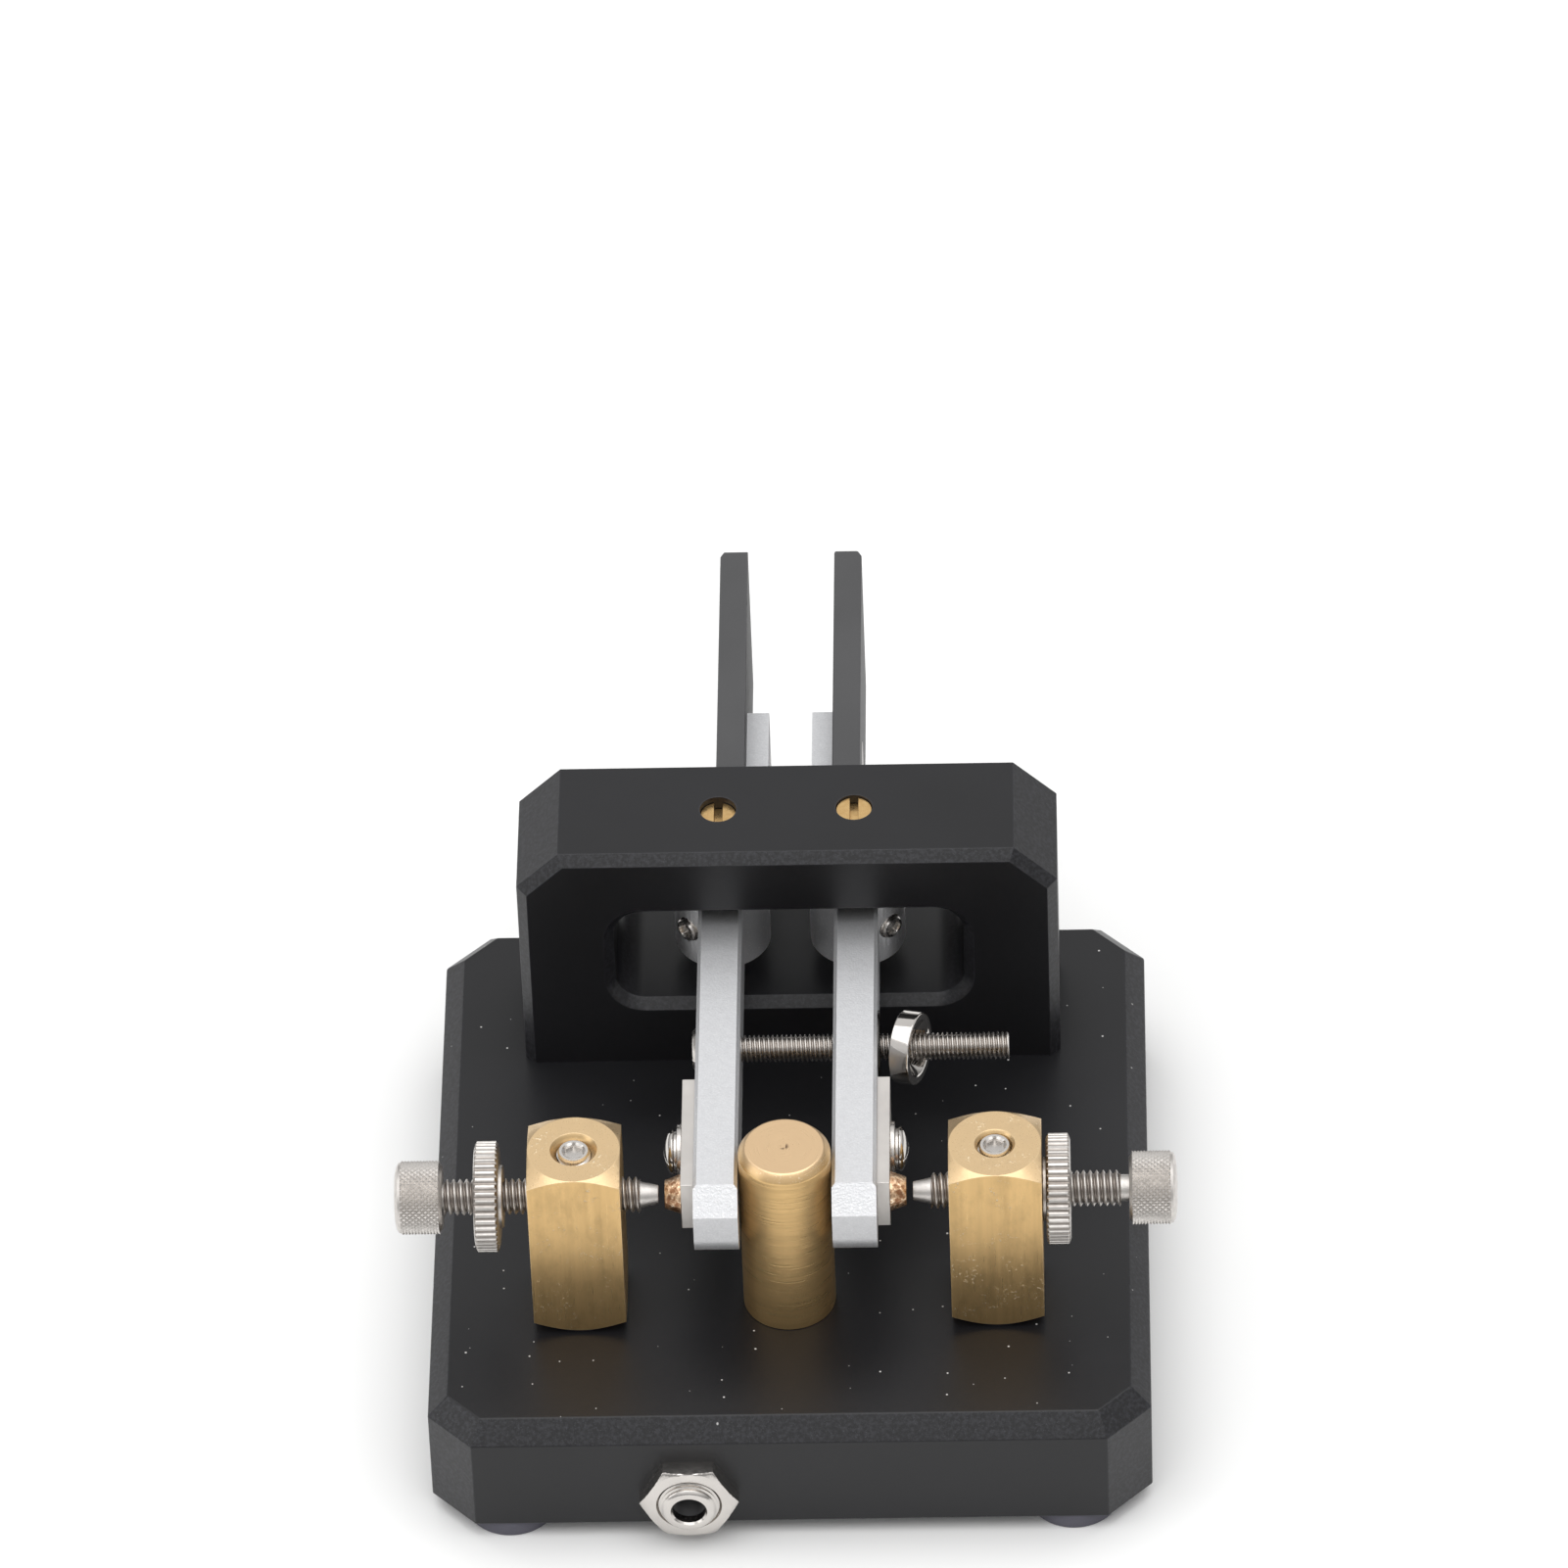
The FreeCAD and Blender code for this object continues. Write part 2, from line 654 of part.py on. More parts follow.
def make_pivot_set_screw(side, sign):
    """The grub screw that locks a lever's boss to its shaft, on the outer front diagonal."""
    part = 0.5 ** 0.5
    inner = "(shaft_wide / 2 + fit_gap)"
    long = "(boss_wide / 2 - shaft_wide / 2 + set_screw_proud)"
    start = ("%d * (%s + %s * %f)" % (sign, ARM_X, inner, part),
             "%s - %s * %f" % (FRAME_Y, inner, part), AXIS)
    end = ("%d * (%s + (%s + %s) * %f)" % (sign, ARM_X, inner, long, part),
           "%s - (%s + %s) * %f" % (FRAME_Y, inner, long, part), AXIS)
    blank = rod(side + "_set_blank", "set_screw_wide", long, start, (sign * part, -part, 0))
    socket = prism(side + "_set_socket", "set_socket_wide", "set_socket_deep", end, (-sign * part, part, 0))
    return node(side + "_pivot_set_screw", cut(side + "_pivot_set_screw", blank, socket))


def make_contact_strip(side, sign):
    corner = (ARM_OUT if sign > 0 else "-" + STRIP_OUT,
              POST_Y + " - strip_front", AXIS + " - strip_high / 2")
    blank = block(side + "_strip_blank", ("strip_thick", "strip_long", "strip_high"), corner)
    start = "%d * (%s - cut_past)" % (sign, ARM_OUT)
    rivet_hole = rod(side + "_strip_rivet_hole", "rivet_stem + 2 * fit_gap", "strip_thick + 2 * cut_past",
                     (start, POST_Y, AXIS), (sign, 0, 0))
    screw_hole = rod(side + "_strip_screw_hole", "small_thread + 2 * fit_gap", "strip_thick + 2 * cut_past",
                     (start, POST_Y + " + strip_screw_back", AXIS), (sign, 0, 0))
    return node(side + "_contact_strip", cut(side + "_contact_strip", blank, rivet_hole, screw_hole))


def make_contact_rivet(side, sign):
    start = ("%d * (%s - arm_thick / 2)" % (sign, ARM_OUT), POST_Y, AXIS)
    return node(side + "_contact_rivet",
                turned(side + "_contact_rivet", start, (sign, 0, 0),
                       [("rivet_stem", "rivet_stem", "arm_thick / 2 + strip_thick"),
                        ("rivet_wide", "rivet_tip", "rivet_long")]))


def make_strip_fastening(side, sign):
    along = POST_Y + " + strip_screw_back"
    outward = (sign, 0, 0)
    hole = rod(side + "_washer_hole", "small_thread + 2 * fit_gap", "washer_thick + 2 * cut_past",
               ("%d * (%s - cut_past)" % (sign, STRIP_OUT), along, AXIS), outward)
    washer = rod(side + "_washer_blank", "washer_wide", "washer_thick",
                 ("%d * %s" % (sign, STRIP_OUT), along, AXIS), outward)
    node(side + "_strip_washer", cut(side + "_strip_washer", washer, hole))
    seat = "(%s + washer_thick)" % STRIP_OUT
    spring_hole = rod(side + "_spring_hole", "small_thread + 2 * fit_gap",
                      "spring_washer_thick + 2 * cut_past",
                      ("%d * (%s - cut_past)" % (sign, seat), along, AXIS), outward)
    spring = rod(side + "_spring_blank", "spring_washer_wide", "spring_washer_thick",
                 ("%d * %s" % (sign, seat), along, AXIS), outward)
    node(side + "_spring_washer", cut(side + "_spring_washer", spring, spring_hole))
    head = "(%s + spring_washer_thick)" % seat
    shank = "(strip_thick + washer_thick + spring_washer_thick + arm_thick - strip_screw_short)"
    # the head is a short cylinder and two cones, as shares of its height and width
    screw = turned(side + "_strip_screw", ("%d * (%s - %s)" % (sign, head, shank), along, AXIS), outward,
                   [("small_thread", "small_thread", shank),
                    ("strip_screw_head", "strip_screw_head", "0.35 * strip_dome"),
                    ("strip_screw_head", "0.86 * strip_screw_head", "0.35 * strip_dome"),
                    ("0.86 * strip_screw_head", "0.5 * strip_screw_head", "0.3 * strip_dome")])
    slot = block(side + "_strip_slot",
                 ("2 * strip_slot_deep", "strip_screw_head + cut_past", "strip_slot_wide"),
                 ("%d * (%s + strip_dome) - strip_slot_deep" % (sign, head),
                  "%s - (strip_screw_head + cut_past) / 2" % along, AXIS + " - strip_slot_wide / 2"))
    return node(side + "_strip_screw", cut(side + "_strip_screw_cut", screw, slot))


def make_pivot_screws():
    """Slotted brass screws: the upper pair seen in the frame's top, the lower pair in its sill."""
    upper = []
    lower = []
    slot_long = "(pivot_screw_wide + cut_past)"
    for side, sign in SIDES:
        across = "%d * %s" % (sign, ARM_X)
        bearing = "(%s + arm_high + pivot_end_gap)" % ARM_LOW
        top = "(%s + frame_high - pivot_sink_%s)" % (BASE_TOP, side)
        blank = rod(side + "_upper_blank", "pivot_screw_wide", "%s - %s" % (top, bearing),
                    (across, FRAME_Y, bearing))
        bore = rod(side + "_upper_bore", "pintle_wide + 2 * pivot_gap", "pintle_long + 2 * pivot_end_gap",
                   (across, FRAME_Y, bearing + " - pivot_end_gap"))
        slot = block(side + "_upper_slot", ("slot_wide", slot_long, "slot_deep + cut_past"),
                     (across + " - slot_wide / 2", "%s - %s / 2" % (FRAME_Y, slot_long),
                      top + " - slot_deep"))
        upper.append(cut(side + "_upper_pivot", blank, bore, slot))
        seat = "(%s - pivot_end_gap)" % ARM_LOW
        under = "(%s + pivot_under)" % BASE_TOP
        blank = rod(side + "_lower_blank", "pivot_screw_wide", "%s - %s" % (seat, under),
                    (across, FRAME_Y, under))
        bore = rod(side + "_lower_bore", "pintle_wide + 2 * pivot_gap", "pintle_long + 2 * pivot_end_gap",
                   (across, FRAME_Y, seat + " - pintle_long - pivot_end_gap"))
        slot = block(side + "_lower_slot", ("slot_wide", slot_long, "slot_deep + cut_past"),
                     (across + " - slot_wide / 2", "%s - %s / 2" % (FRAME_Y, slot_long),
                      under + " - cut_past"))
        lower.append(cut(side + "_lower_pivot", blank, bore, slot))
    node("upper_pivot_screws", group("upper_pivot_screws", upper))
    return node("lower_pivot_screws", group("lower_pivot_screws", lower))


# ---- posts ----

def square_bar(name, across, low, high):
    """A square bar whose ends are turned to a flat cone, as a nut's are."""
    bar = block(name + "_bar", ("post_wide", "post_wide", "%s - %s" % (high, low)),
                ("%s - post_wide / 2" % across, "%s - post_wide / 2" % POST_Y, low))
    face = "(post_wide - 2 * post_face_inset)"
    corner = "(post_wide * sqrt(2) + cut_past)"
    drop = "((%s - %s) / 2 * post_slope)" % (corner, face)
    envelope = turned(name + "_turning", (across, POST_Y, low), (0, 0, 1),
                      [(face, corner, drop),
                       (corner, corner, "%s - %s - 2 * %s" % (high, low, drop)),
                       (corner, face, drop)])
    return common(name + "_blank", bar, envelope)


def make_contact_post(side, sign):
    across = "%d * post_aside" % sign
    low = "(%s + pad_thick)" % BASE_TOP
    high = "(%s + post_high)" % BASE_TOP
    blank = square_bar(side + "_contact_post", across, low, high)
    screw_bore = rod(side + "_post_screw_bore", "screw_wide + 2 * fit_gap", "post_wide + 2 * cut_past",
                     ("%s - post_wide / 2 - cut_past" % across, POST_Y, AXIS), (1, 0, 0))
    grub_bore = rod(side + "_post_grub_bore", "grub_wide + 2 * fit_gap", "%s - %s + cut_past" % (high, AXIS),
                    (across, POST_Y, AXIS))
    recess = taper(side + "_post_recess", side + "_recess_wide", "grub_wide + 2 * fit_gap",
                   side + "_recess_deep", (across, POST_Y, high), (0, 0, -1))
    fixing = rod(side + "_post_fixing", "post_screw_wide + 2 * fit_gap",
                 "post_screw_in + thread_runout + cut_past",
                 (across, POST_Y, low + " - cut_past"))
    return node(side + "_contact_post",
                cut(side + "_contact_post", blank, screw_bore, grub_bore, recess, fixing))


def make_post_fixings():
    pads = []
    bushes = []
    screws = []
    lugs = []
    for side, sign in SIDES:
        across = "%d * post_aside" % sign
        pad_blank = rod(side + "_pad_blank", "post_wide - 2 * pad_inset", "pad_thick",
                        (across, POST_Y, BASE_TOP))
        pad_hole = rod(side + "_pad_hole", "post_screw_wide + 2 * fit_gap", "pad_thick + 2 * cut_past",
                       (across, POST_Y, BASE_TOP + " - cut_past"))
        pads.append(cut(side + "_pad", pad_blank, pad_hole))
        bush = turned(side + "_bush_blank", (across, POST_Y, CHANNEL_TOP + " - flange_thick"), (0, 0, 1),
                      [("flange_wide", "flange_wide", "flange_thick"),
                       ("bush_wide", "bush_wide", "base_high - channel_deep")])
        bush_hole = rod(side + "_bush_hole", "post_screw_wide + 2 * fit_gap", "base_high + 2 * cut_past",
                        (across, POST_Y, CHANNEL_TOP + " - flange_thick - cut_past"))
        bushes.append(cut(side + "_bush", bush, bush_hole))
        seat = LUG_LOW
        ring = rod(side + "_lug_ring", "lug_wide", "lug_thick", (across, POST_Y, seat))
        hub = "(post_screw_wide / 2 + lug_rim)"
        tab = block(side + "_lug_tab", ("lug_reach - %s" % hub, "lug_tab", "lug_thick"),
                    ("%s + %s" % (across, hub) if sign < 0 else "%s - lug_reach" % across,
                     POST_Y + " - lug_tab / 2", seat))
        lug_hole = rod(side + "_lug_hole", "post_screw_wide + 2 * fit_gap", "lug_thick + 2 * cut_past",
                       (across, POST_Y, seat + " - cut_past"))
        lugs.append(cut(side + "_lug", joined(side + "_lug_blank", ring, tab), lug_hole))
        screws.append(post_screw(side + "_post_screw", across, seat, BASE_TOP + " + pad_thick"))
    node("post_pads", group("post_pads", pads))
    node("post_bushes", group("post_bushes", bushes))
    node("solder_lugs", group("solder_lugs", lugs))
    return node("post_screws", group("post_screws", screws))


def post_screw(name, across, seat, foot_of_post):
    """A pan-head screw from below: seat is the underside that its head bears on."""
    blank = turned(name, (across, POST_Y, "%s - pan_head_high" % seat), (0, 0, 1),
                   [("pan_head_wide", "pan_head_wide", "pan_head_high"),
                    ("post_screw_wide", "post_screw_wide", "%s - %s + post_screw_in" % (foot_of_post, seat))])
    slot = block(name + "_slot", ("pan_head_wide + cut_past", "slot_wide", "slot_deep + cut_past"),
                 ("%s - (pan_head_wide + cut_past) / 2" % across, POST_Y + " - slot_wide / 2",
                  "%s - pan_head_high - cut_past" % seat))
    return cut(name + "_cut", blank, slot)


def make_centre_post():
    high = "(%s + post_high)" % BASE_TOP
    blank = turned("centre_post_blank", ("0", POST_Y, BASE_TOP), (0, 0, 1),
                   [("centre_post_wide", "centre_post_wide", "post_high - rim_drop"),
                    ("centre_post_wide", "centre_post_wide - 2 * centre_rim", "rim_drop")])
    fixing = rod("centre_fixing", "post_screw_wide + 2 * fit_gap", "post_screw_in + thread_runout + cut_past",
                 ("0", POST_Y, BASE_TOP + " - cut_past"))
    node("centre_post", cut("centre_post", blank, fixing))
    return node("centre_post_screw", post_screw("centre_post_screw", "0", CHANNEL_TOP, BASE_TOP))


def make_post_grub_screws():
    pieces = []
    for side, sign in SIDES:
        across = "%d * post_aside" % sign
        low = "(%s + screw_wide / 2 + grub_gap)" % AXIS
        high = "(%s + post_high - %s_grub_sink)" % (BASE_TOP, side)
        blank = rod(side + "_grub_blank", "grub_wide", "%s - %s" % (high, low), (across, POST_Y, low))
        socket = prism(side + "_grub_socket", "socket_wide", "socket_deep",
                       (across, POST_Y, high), (0, 0, -1))
        pieces.append(cut(side + "_grub", blank, socket))
    return node("post_grub_screws", group("post_grub_screws", pieces))


# ---- contact screws, lock rings ----

def make_contact_screw(side, sign):
    return node(side + "_contact_screw",
                turned(side + "_contact_screw", ("%d * %s" % (sign, TIP_X), POST_Y, AXIS), (sign, 0, 0),
                       [("screw_tip", "cone_wide", "cone_long"),
                        ("screw_wide", "screw_wide", "thread_long"),
                        ("neck_wide", "neck_wide", "neck_long"),
                        ("head_wide", "head_wide", "head_long - head_round"),
                        ("head_wide", "head_wide - 2 * head_round", "head_round")]))


def make_lock_ring(side, sign):
    face = "(post_aside + post_wide / 2 + %s_ring_gap)" % side
    start = ("%d * %s" % (sign, face), POST_Y, AXIS)
    blank = turned(side + "_ring_blank", start, (sign, 0, 0),
                   [("hub_wide", "hub_wide", "hub_thick"),
                    ("ring_wide - 2 * ring_edge", "ring_wide", "ring_edge"),
                    ("ring_wide", "ring_wide", "ring_thick - 2 * ring_edge"),
                    ("ring_wide", "ring_wide - 2 * ring_edge", "ring_edge")])
    bore = rod(side + "_ring_bore", "screw_wide + 2 * fit_gap", "hub_thick + ring_thick + 2 * cut_past",
               ("%d * (%s - cut_past)" % (sign, face), POST_Y, AXIS), (sign, 0, 0))
    return node(side + "_lock_ring", cut(side + "_lock_ring", blank, bore))


# ---- tension screw and magnets ----

def make_tension_screw():
    start = ("-(%s + tension_proud)" % ARM_OUT, TENSION_Y, AXIS)
    blank = turned("tension_blank", start, (1, 0, 0),
                   [("tension_head - 2 * tension_proud", "tension_head", "tension_proud"),
                    ("tension_head", "tension_wide", "tension_sunk"),
                    ("tension_wide", "tension_wide", "tension_end + %s - tension_sunk" % ARM_OUT)])
    slot = block("tension_slot", ("2 * tension_slot_deep", "tension_head + cut_past", "tension_slot_wide"),
                 ("%s - tension_slot_deep" % start[0], "%s - (tension_head + cut_past) / 2" % TENSION_Y,
                  AXIS + " - tension_slot_wide / 2"))
    return node("tension_screw", cut("tension_screw", blank, slot))


def make_arm_magnet():
    start = ("%s + arm_magnet_proud - arm_magnet_thick" % ARM_OUT, TENSION_Y, AXIS)
    blank = rod("arm_magnet_blank", "magnet_wide", "arm_magnet_thick", start, (1, 0, 0))
    bore = rod("arm_magnet_bore", "screw_way", "arm_magnet_thick + 2 * cut_past",
               ("%s - cut_past" % start[0], TENSION_Y, AXIS), (1, 0, 0))
    return node("arm_magnet", cut("arm_magnet", blank, bore))


def make_tension_magnet():
    """A loose ring magnet that leans on the screw, its straight throat centred on the screw's axis."""
    lean = Vector(*MAGNET_LEAN)
    lean.normalize()
    middle = ("%s + magnet_place" % ARM_OUT, TENSION_Y, AXIS)

    def along(distance):
        return ["%s + %f * (%s)" % (base, part, distance) for base, part in zip(middle, lean)]

    rear = "-(magnet_thick - magnet_flare_deep) / 2"
    throat_end = "(magnet_thick - magnet_flare_deep) / 2"
    blank = rod("magnet_blank", "magnet_wide", "magnet_thick", along(rear), lean)
    bore = rod("magnet_bore_tool", "magnet_bore", "magnet_thick + 2 * cut_past",
               along("%s - cut_past" % rear), lean)
    flare = taper("magnet_flare_tool", "magnet_bore", "magnet_flare", "magnet_flare_deep",
                  along(throat_end), lean)
    return node("tension_magnet", cut("tension_magnet", blank, bore, flare))


# ---- plug socket and wiring ----

def make_jack():
    face = "(-base_deep / 2 - jack_nut_thick - jack_proud)"
    rear = "(-base_deep / 2 + jack_wall)"
    barrel = rod("jack_barrel_blank", "jack_barrel", "%s - %s" % (rear, face), (JACK_X, face, JACK_Z),
                 (0, 1, 0))
    housing = block("jack_housing", ("jack_body_wide", "jack_body_long", "jack_body_high"),
                    ("%s - jack_body_wide / 2" % JACK_X, rear, "%s - jack_body_high / 2" % JACK_Z))
    bore = rod("jack_bore_tool", "jack_bore", "jack_bore_long + cut_past",
               (JACK_X, "%s - cut_past" % face, JACK_Z), (0, 1, 0))
    mouth = taper("jack_mouth_tool", "jack_bore + 2 * jack_mouth", "jack_bore", "jack_mouth",
                  (JACK_X, face, JACK_Z), (0, 1, 0))
    node("jack_socket", cut("jack_socket", joined("jack_blank", barrel, housing), bore, mouth))

    nut_blank = prism("jack_nut_blank", "jack_nut", "jack_nut_thick", (JACK_X, "-base_deep / 2", JACK_Z),
                      (0, -1, 0))
    nut_hole = rod("jack_nut_hole", "jack_barrel + 2 * fit_gap", "jack_nut_thick + 2 * cut_past",
                   (JACK_X, "-base_deep / 2 + cut_past", JACK_Z), (0, -1, 0))
    node("jack_nut", cut("jack_nut", nut_blank, nut_hole))

    back = "(%s + jack_body_long)" % rear
    leads = []
    for side, sign in SIDES:
        leads.append(block(side + "_lead", ("lead_wide", "lead_long", "lead_thick"),
                           ("%s + %d * lead_apart - lead_wide / 2" % (JACK_X, sign), back,
                            "%s + (lug_thick - lead_thick) / 2" % LUG_LOW)))
    return node("jack_leads", group("jack_leads", leads))


def rounded_path(points, radius):
    """Straight runs joined by tangent arcs, as one wire."""
    edges = []
    start = points[0]
    for index in range(1, len(points) - 1):
        before = (points[index - 1] - points[index]).normalize()
        after = (points[index + 1] - points[index]).normalize()
        half = before.getAngle(after) / 2
        reach = radius / math.tan(half)
        first = points[index] + before * reach
        last = points[index] + after * reach
        inward = (before + after).normalize()
        centre = points[index] + inward * (reach ** 2 + radius ** 2) ** 0.5
        edges.append(Part.LineSegment(start, first).toShape())
        edges.append(Part.Arc(first, centre - inward * radius, last).toShape())
        start = last
    edges.append(Part.LineSegment(start, points[-1]).toShape())
    return Part.Wire(edges)


def make_wire(side, sign):
    """A short insulated wire from a socket lead to the solder lug under its post."""
    radius = value("wire_wide / 2")
    level = value(LUG_LOW + " + lug_thick / 2")
    post_y = value(POST_Y)
    lead_end = value("-base_deep / 2 + jack_wall + jack_body_long + lead_long")
    from_x = value("%s + %d * lead_apart" % (JACK_X, sign))
    lug_x = value("%d * (post_aside - lug_reach)" % sign)
    points = [Vector(from_x, lead_end, level), Vector(from_x, post_y, level)]
    if sign > 0:
        # this one passes under the centre post's screw head
        passing = value("wire_pass")
        dip = level - value("wire_dip")
        points += [Vector(-passing, post_y, dip), Vector(passing, post_y, dip),
                   Vector(2 * passing, post_y, level)]
    points.append(Vector(lug_x, post_y, level))
    path = rounded_path(points, value("wire_bend"))
    direction = (points[1] - points[0]).normalize()
    profile = Part.Wire([Part.Circle(points[0], direction, radius).toShape()])
    tube = path.makePipeShell([profile], True, True)
    piece = doc.addObject("Part::Feature", side + "_wire")
    piece.Shape = tube
    expected = math.pi * radius ** 2 * path.Length
    print(side, "wire: bend radius", value("wire_bend"), "volume ratio", round(tube.Volume / expected, 4))
    return node(side + "_wire", piece)


# ---- build everything ----

make_base_plate()
make_feet()
make_pivot_frame()
make_frame_screws()
make_pivot_screws()
for side_name, side_sign in SIDES:
    make_arm(side_name, side_sign)
    make_finger_plate(side_name, side_sign)
    make_plate_screws(side_name, side_sign)
    make_pivot_shaft(side_name, side_sign)
    make_pivot_set_screw(side_name, side_sign)
    make_contact_strip(side_name, side_sign)
    make_contact_rivet(side_name, side_sign)
    make_strip_fastening(side_name, side_sign)
    make_contact_post(side_name, side_sign)
    make_contact_screw(side_name, side_sign)
    make_lock_ring(side_name, side_sign)
make_post_fixings()
make_centre_post()
make_post_grub_screws()
make_tension_screw()
make_arm_magnet()
make_tension_magnet()
make_jack()
for side_name, side_sign in SIDES:
    make_wire(side_name, side_sign)
doc.recompute()

# ---- check, then write one STEP file for each node ----

for item in doc.Objects:
    if "Invalid" in item.State or "Error" in item.State:
        raise RuntimeError("%s did not compute: %s" % (item.Name, item.State))
for part_name, part in PARTS:
    if part.Shape.isNull() or not part.Shape.isValid() or part.Shape.Volume <= 0:
        raise RuntimeError(part_name + " has no valid shape")

os.makedirs("parts", exist_ok=True)
for part_name, part in PARTS:
    part.Shape.exportStep(os.path.join("parts", part_name + ".step"))
print(len(PARTS), "nodes written")
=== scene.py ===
"""Looks of a twin-lever morse key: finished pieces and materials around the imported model.

Every length here is in metres unless a name says otherwise.  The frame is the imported
model's own: +Z up, +X the right-hand lever's side, +Y towards the finger plates.
"""
import json
import math

import bmesh
import bpy
from bpy.props import FloatProperty, FloatVectorProperty, IntProperty, PointerProperty
from mathutils import Matrix, Vector


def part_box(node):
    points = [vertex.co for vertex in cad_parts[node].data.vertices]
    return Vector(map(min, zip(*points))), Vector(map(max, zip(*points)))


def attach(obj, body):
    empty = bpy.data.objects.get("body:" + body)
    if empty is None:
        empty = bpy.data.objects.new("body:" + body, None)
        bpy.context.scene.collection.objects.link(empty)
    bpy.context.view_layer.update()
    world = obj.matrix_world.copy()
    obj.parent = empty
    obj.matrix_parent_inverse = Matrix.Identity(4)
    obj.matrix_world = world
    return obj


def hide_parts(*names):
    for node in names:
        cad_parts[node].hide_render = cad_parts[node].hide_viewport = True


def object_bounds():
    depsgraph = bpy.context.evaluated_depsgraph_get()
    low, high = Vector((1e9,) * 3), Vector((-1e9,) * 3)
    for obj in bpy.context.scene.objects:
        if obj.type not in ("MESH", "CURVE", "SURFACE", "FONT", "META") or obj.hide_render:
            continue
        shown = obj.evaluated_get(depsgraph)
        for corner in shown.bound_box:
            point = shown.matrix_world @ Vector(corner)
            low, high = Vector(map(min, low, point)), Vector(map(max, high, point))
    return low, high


bl_info = {
    "name": "Morse key looks",
    "version": (1, 0, 0),
    "blender": (4, 5, 0),
    "location": "View3D > Sidebar > Morse key",
    "description": "Builds the finished pieces of a twin-lever morse key around its packed model",
    "category": "Object",
}

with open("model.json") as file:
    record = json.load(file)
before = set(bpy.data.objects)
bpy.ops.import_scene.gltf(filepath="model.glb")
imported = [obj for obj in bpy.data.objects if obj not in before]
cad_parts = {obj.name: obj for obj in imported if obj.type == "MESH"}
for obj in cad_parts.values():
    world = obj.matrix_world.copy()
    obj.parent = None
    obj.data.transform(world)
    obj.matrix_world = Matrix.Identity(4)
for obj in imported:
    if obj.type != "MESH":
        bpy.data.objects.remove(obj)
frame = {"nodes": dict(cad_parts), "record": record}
CAD_LOW, CAD_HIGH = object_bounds()
BODIES = frame["record"]["behaviour"]["bodies"]
BODY_OF = {node: body for body, nodes in BODIES.items() for node in nodes}
SIDES = (("left", -1), ("right", 1))
MM = 0.001
MERGE = 1e-6
HALF_TURN = Matrix.Rotation(math.pi, 4, "Z")


# ---- sizes and colours that a user would change ----

def length(name, default, description):
    return FloatProperty(name=name, description=description, default=default, min=0.0,
                         unit="LENGTH", precision=6)


def angle(name, default, description):
    return FloatProperty(name=name, description=description, default=default, subtype="ANGLE")


def amount(name, default, description):
    return FloatProperty(name=name, description=description, default=default, min=0.0)


def colour(name, default, description):
    return FloatVectorProperty(name=name, description=description, default=default, size=3,
                               min=0.0, max=1.0, subtype="COLOR")


class KeySizes(bpy.types.PropertyGroup):
    """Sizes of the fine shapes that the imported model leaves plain"""
    edge_break: length("Edge break", 0.14 * MM, "Width of the broken edge on blocks and levers")
    fine_break: length("Fine break", 0.06 * MM, "Width of the broken edge on small turned parts")
    contact_pitch: length("Contact pitch", 0.7 * MM, "Thread pitch of the contact screws")
    tension_pitch: length("Tension pitch", 0.5 * MM, "Thread pitch of the tension and grub screws")
    cone_long: length("Cone", 1.95 * MM, "Length of a contact screw's plain cone")
    cone_wide: length("Cone base", 2.85 * MM, "Diameter of the cone where the thread begins")
    tip_wide: length("Tip", 2.0 * MM, "Diameter of the flat contact tip")
    thread_long: length("Thread", 20.4 * MM, "Threaded length of a contact screw")
    contact_wide: length("Contact screw", 3.9 * MM, "Diameter of a contact screw's thread")
    tension_wide: length("Tension screw", 3.0 * MM, "Diameter of the tension screw's thread")
    foot_wide: length("Foot", 10.0 * MM, "Diameter of a rubber foot")
    ring_bore: length("Ring bore", 4.04 * MM, "Diameter of a lock ring's bore")
    ring_hub: length("Ring hub", 6.8 * MM, "Diameter of the raised hub beside a lock ring's knurl")
    neck_wide: length("Neck", 2.9 * MM, "Diameter of the plain neck below the head")
    knurl_pitch: length("Knurl pitch", 0.66 * MM, "Width of one diamond of the head's knurl")
    knurl_deep: length("Knurl depth", 0.25 * MM, "Height of one diamond of the head's knurl")
    ring_teeth: IntProperty(name="Ring teeth", description="Ridges round a lock ring",
                            default=46, min=12)
    ring_groove: length("Ring groove", 0.3 * MM, "Depth of the grooves round a lock ring")


class KeyColours(bpy.types.PropertyGroup):
    """Base colours of the finishes"""
    black: colour("Black anodising", (0.0085, 0.0085, 0.0100), "Base block and bridge frame")
    silver: colour("Blasted aluminium", (0.73, 0.735, 0.75), "Levers")
    brass: colour("Brass", (0.745, 0.50, 0.225), "Posts and pivot screws")
    gold: colour("Contact metal", (0.88, 0.64, 0.42), "Contact rivets")
    nickel: colour("Nickel", (0.66, 0.63, 0.60), "Screws, rings and strips")
    plate: colour("Plate plastic", (0.058, 0.058, 0.060), "Finger plates")
    rubber: colour("Rubber", (0.085, 0.083, 0.105), "Feet")
    # the colour below is painted shade, laid into the bottom of threads and knurls where they are deepest
    groove_shade: colour("Groove shade", (0.15, 0.115, 0.09), "Painted shade in the bottom of threads and knurls")
    floor: colour("Floor", (0.93, 0.93, 0.925), "Table under the key")


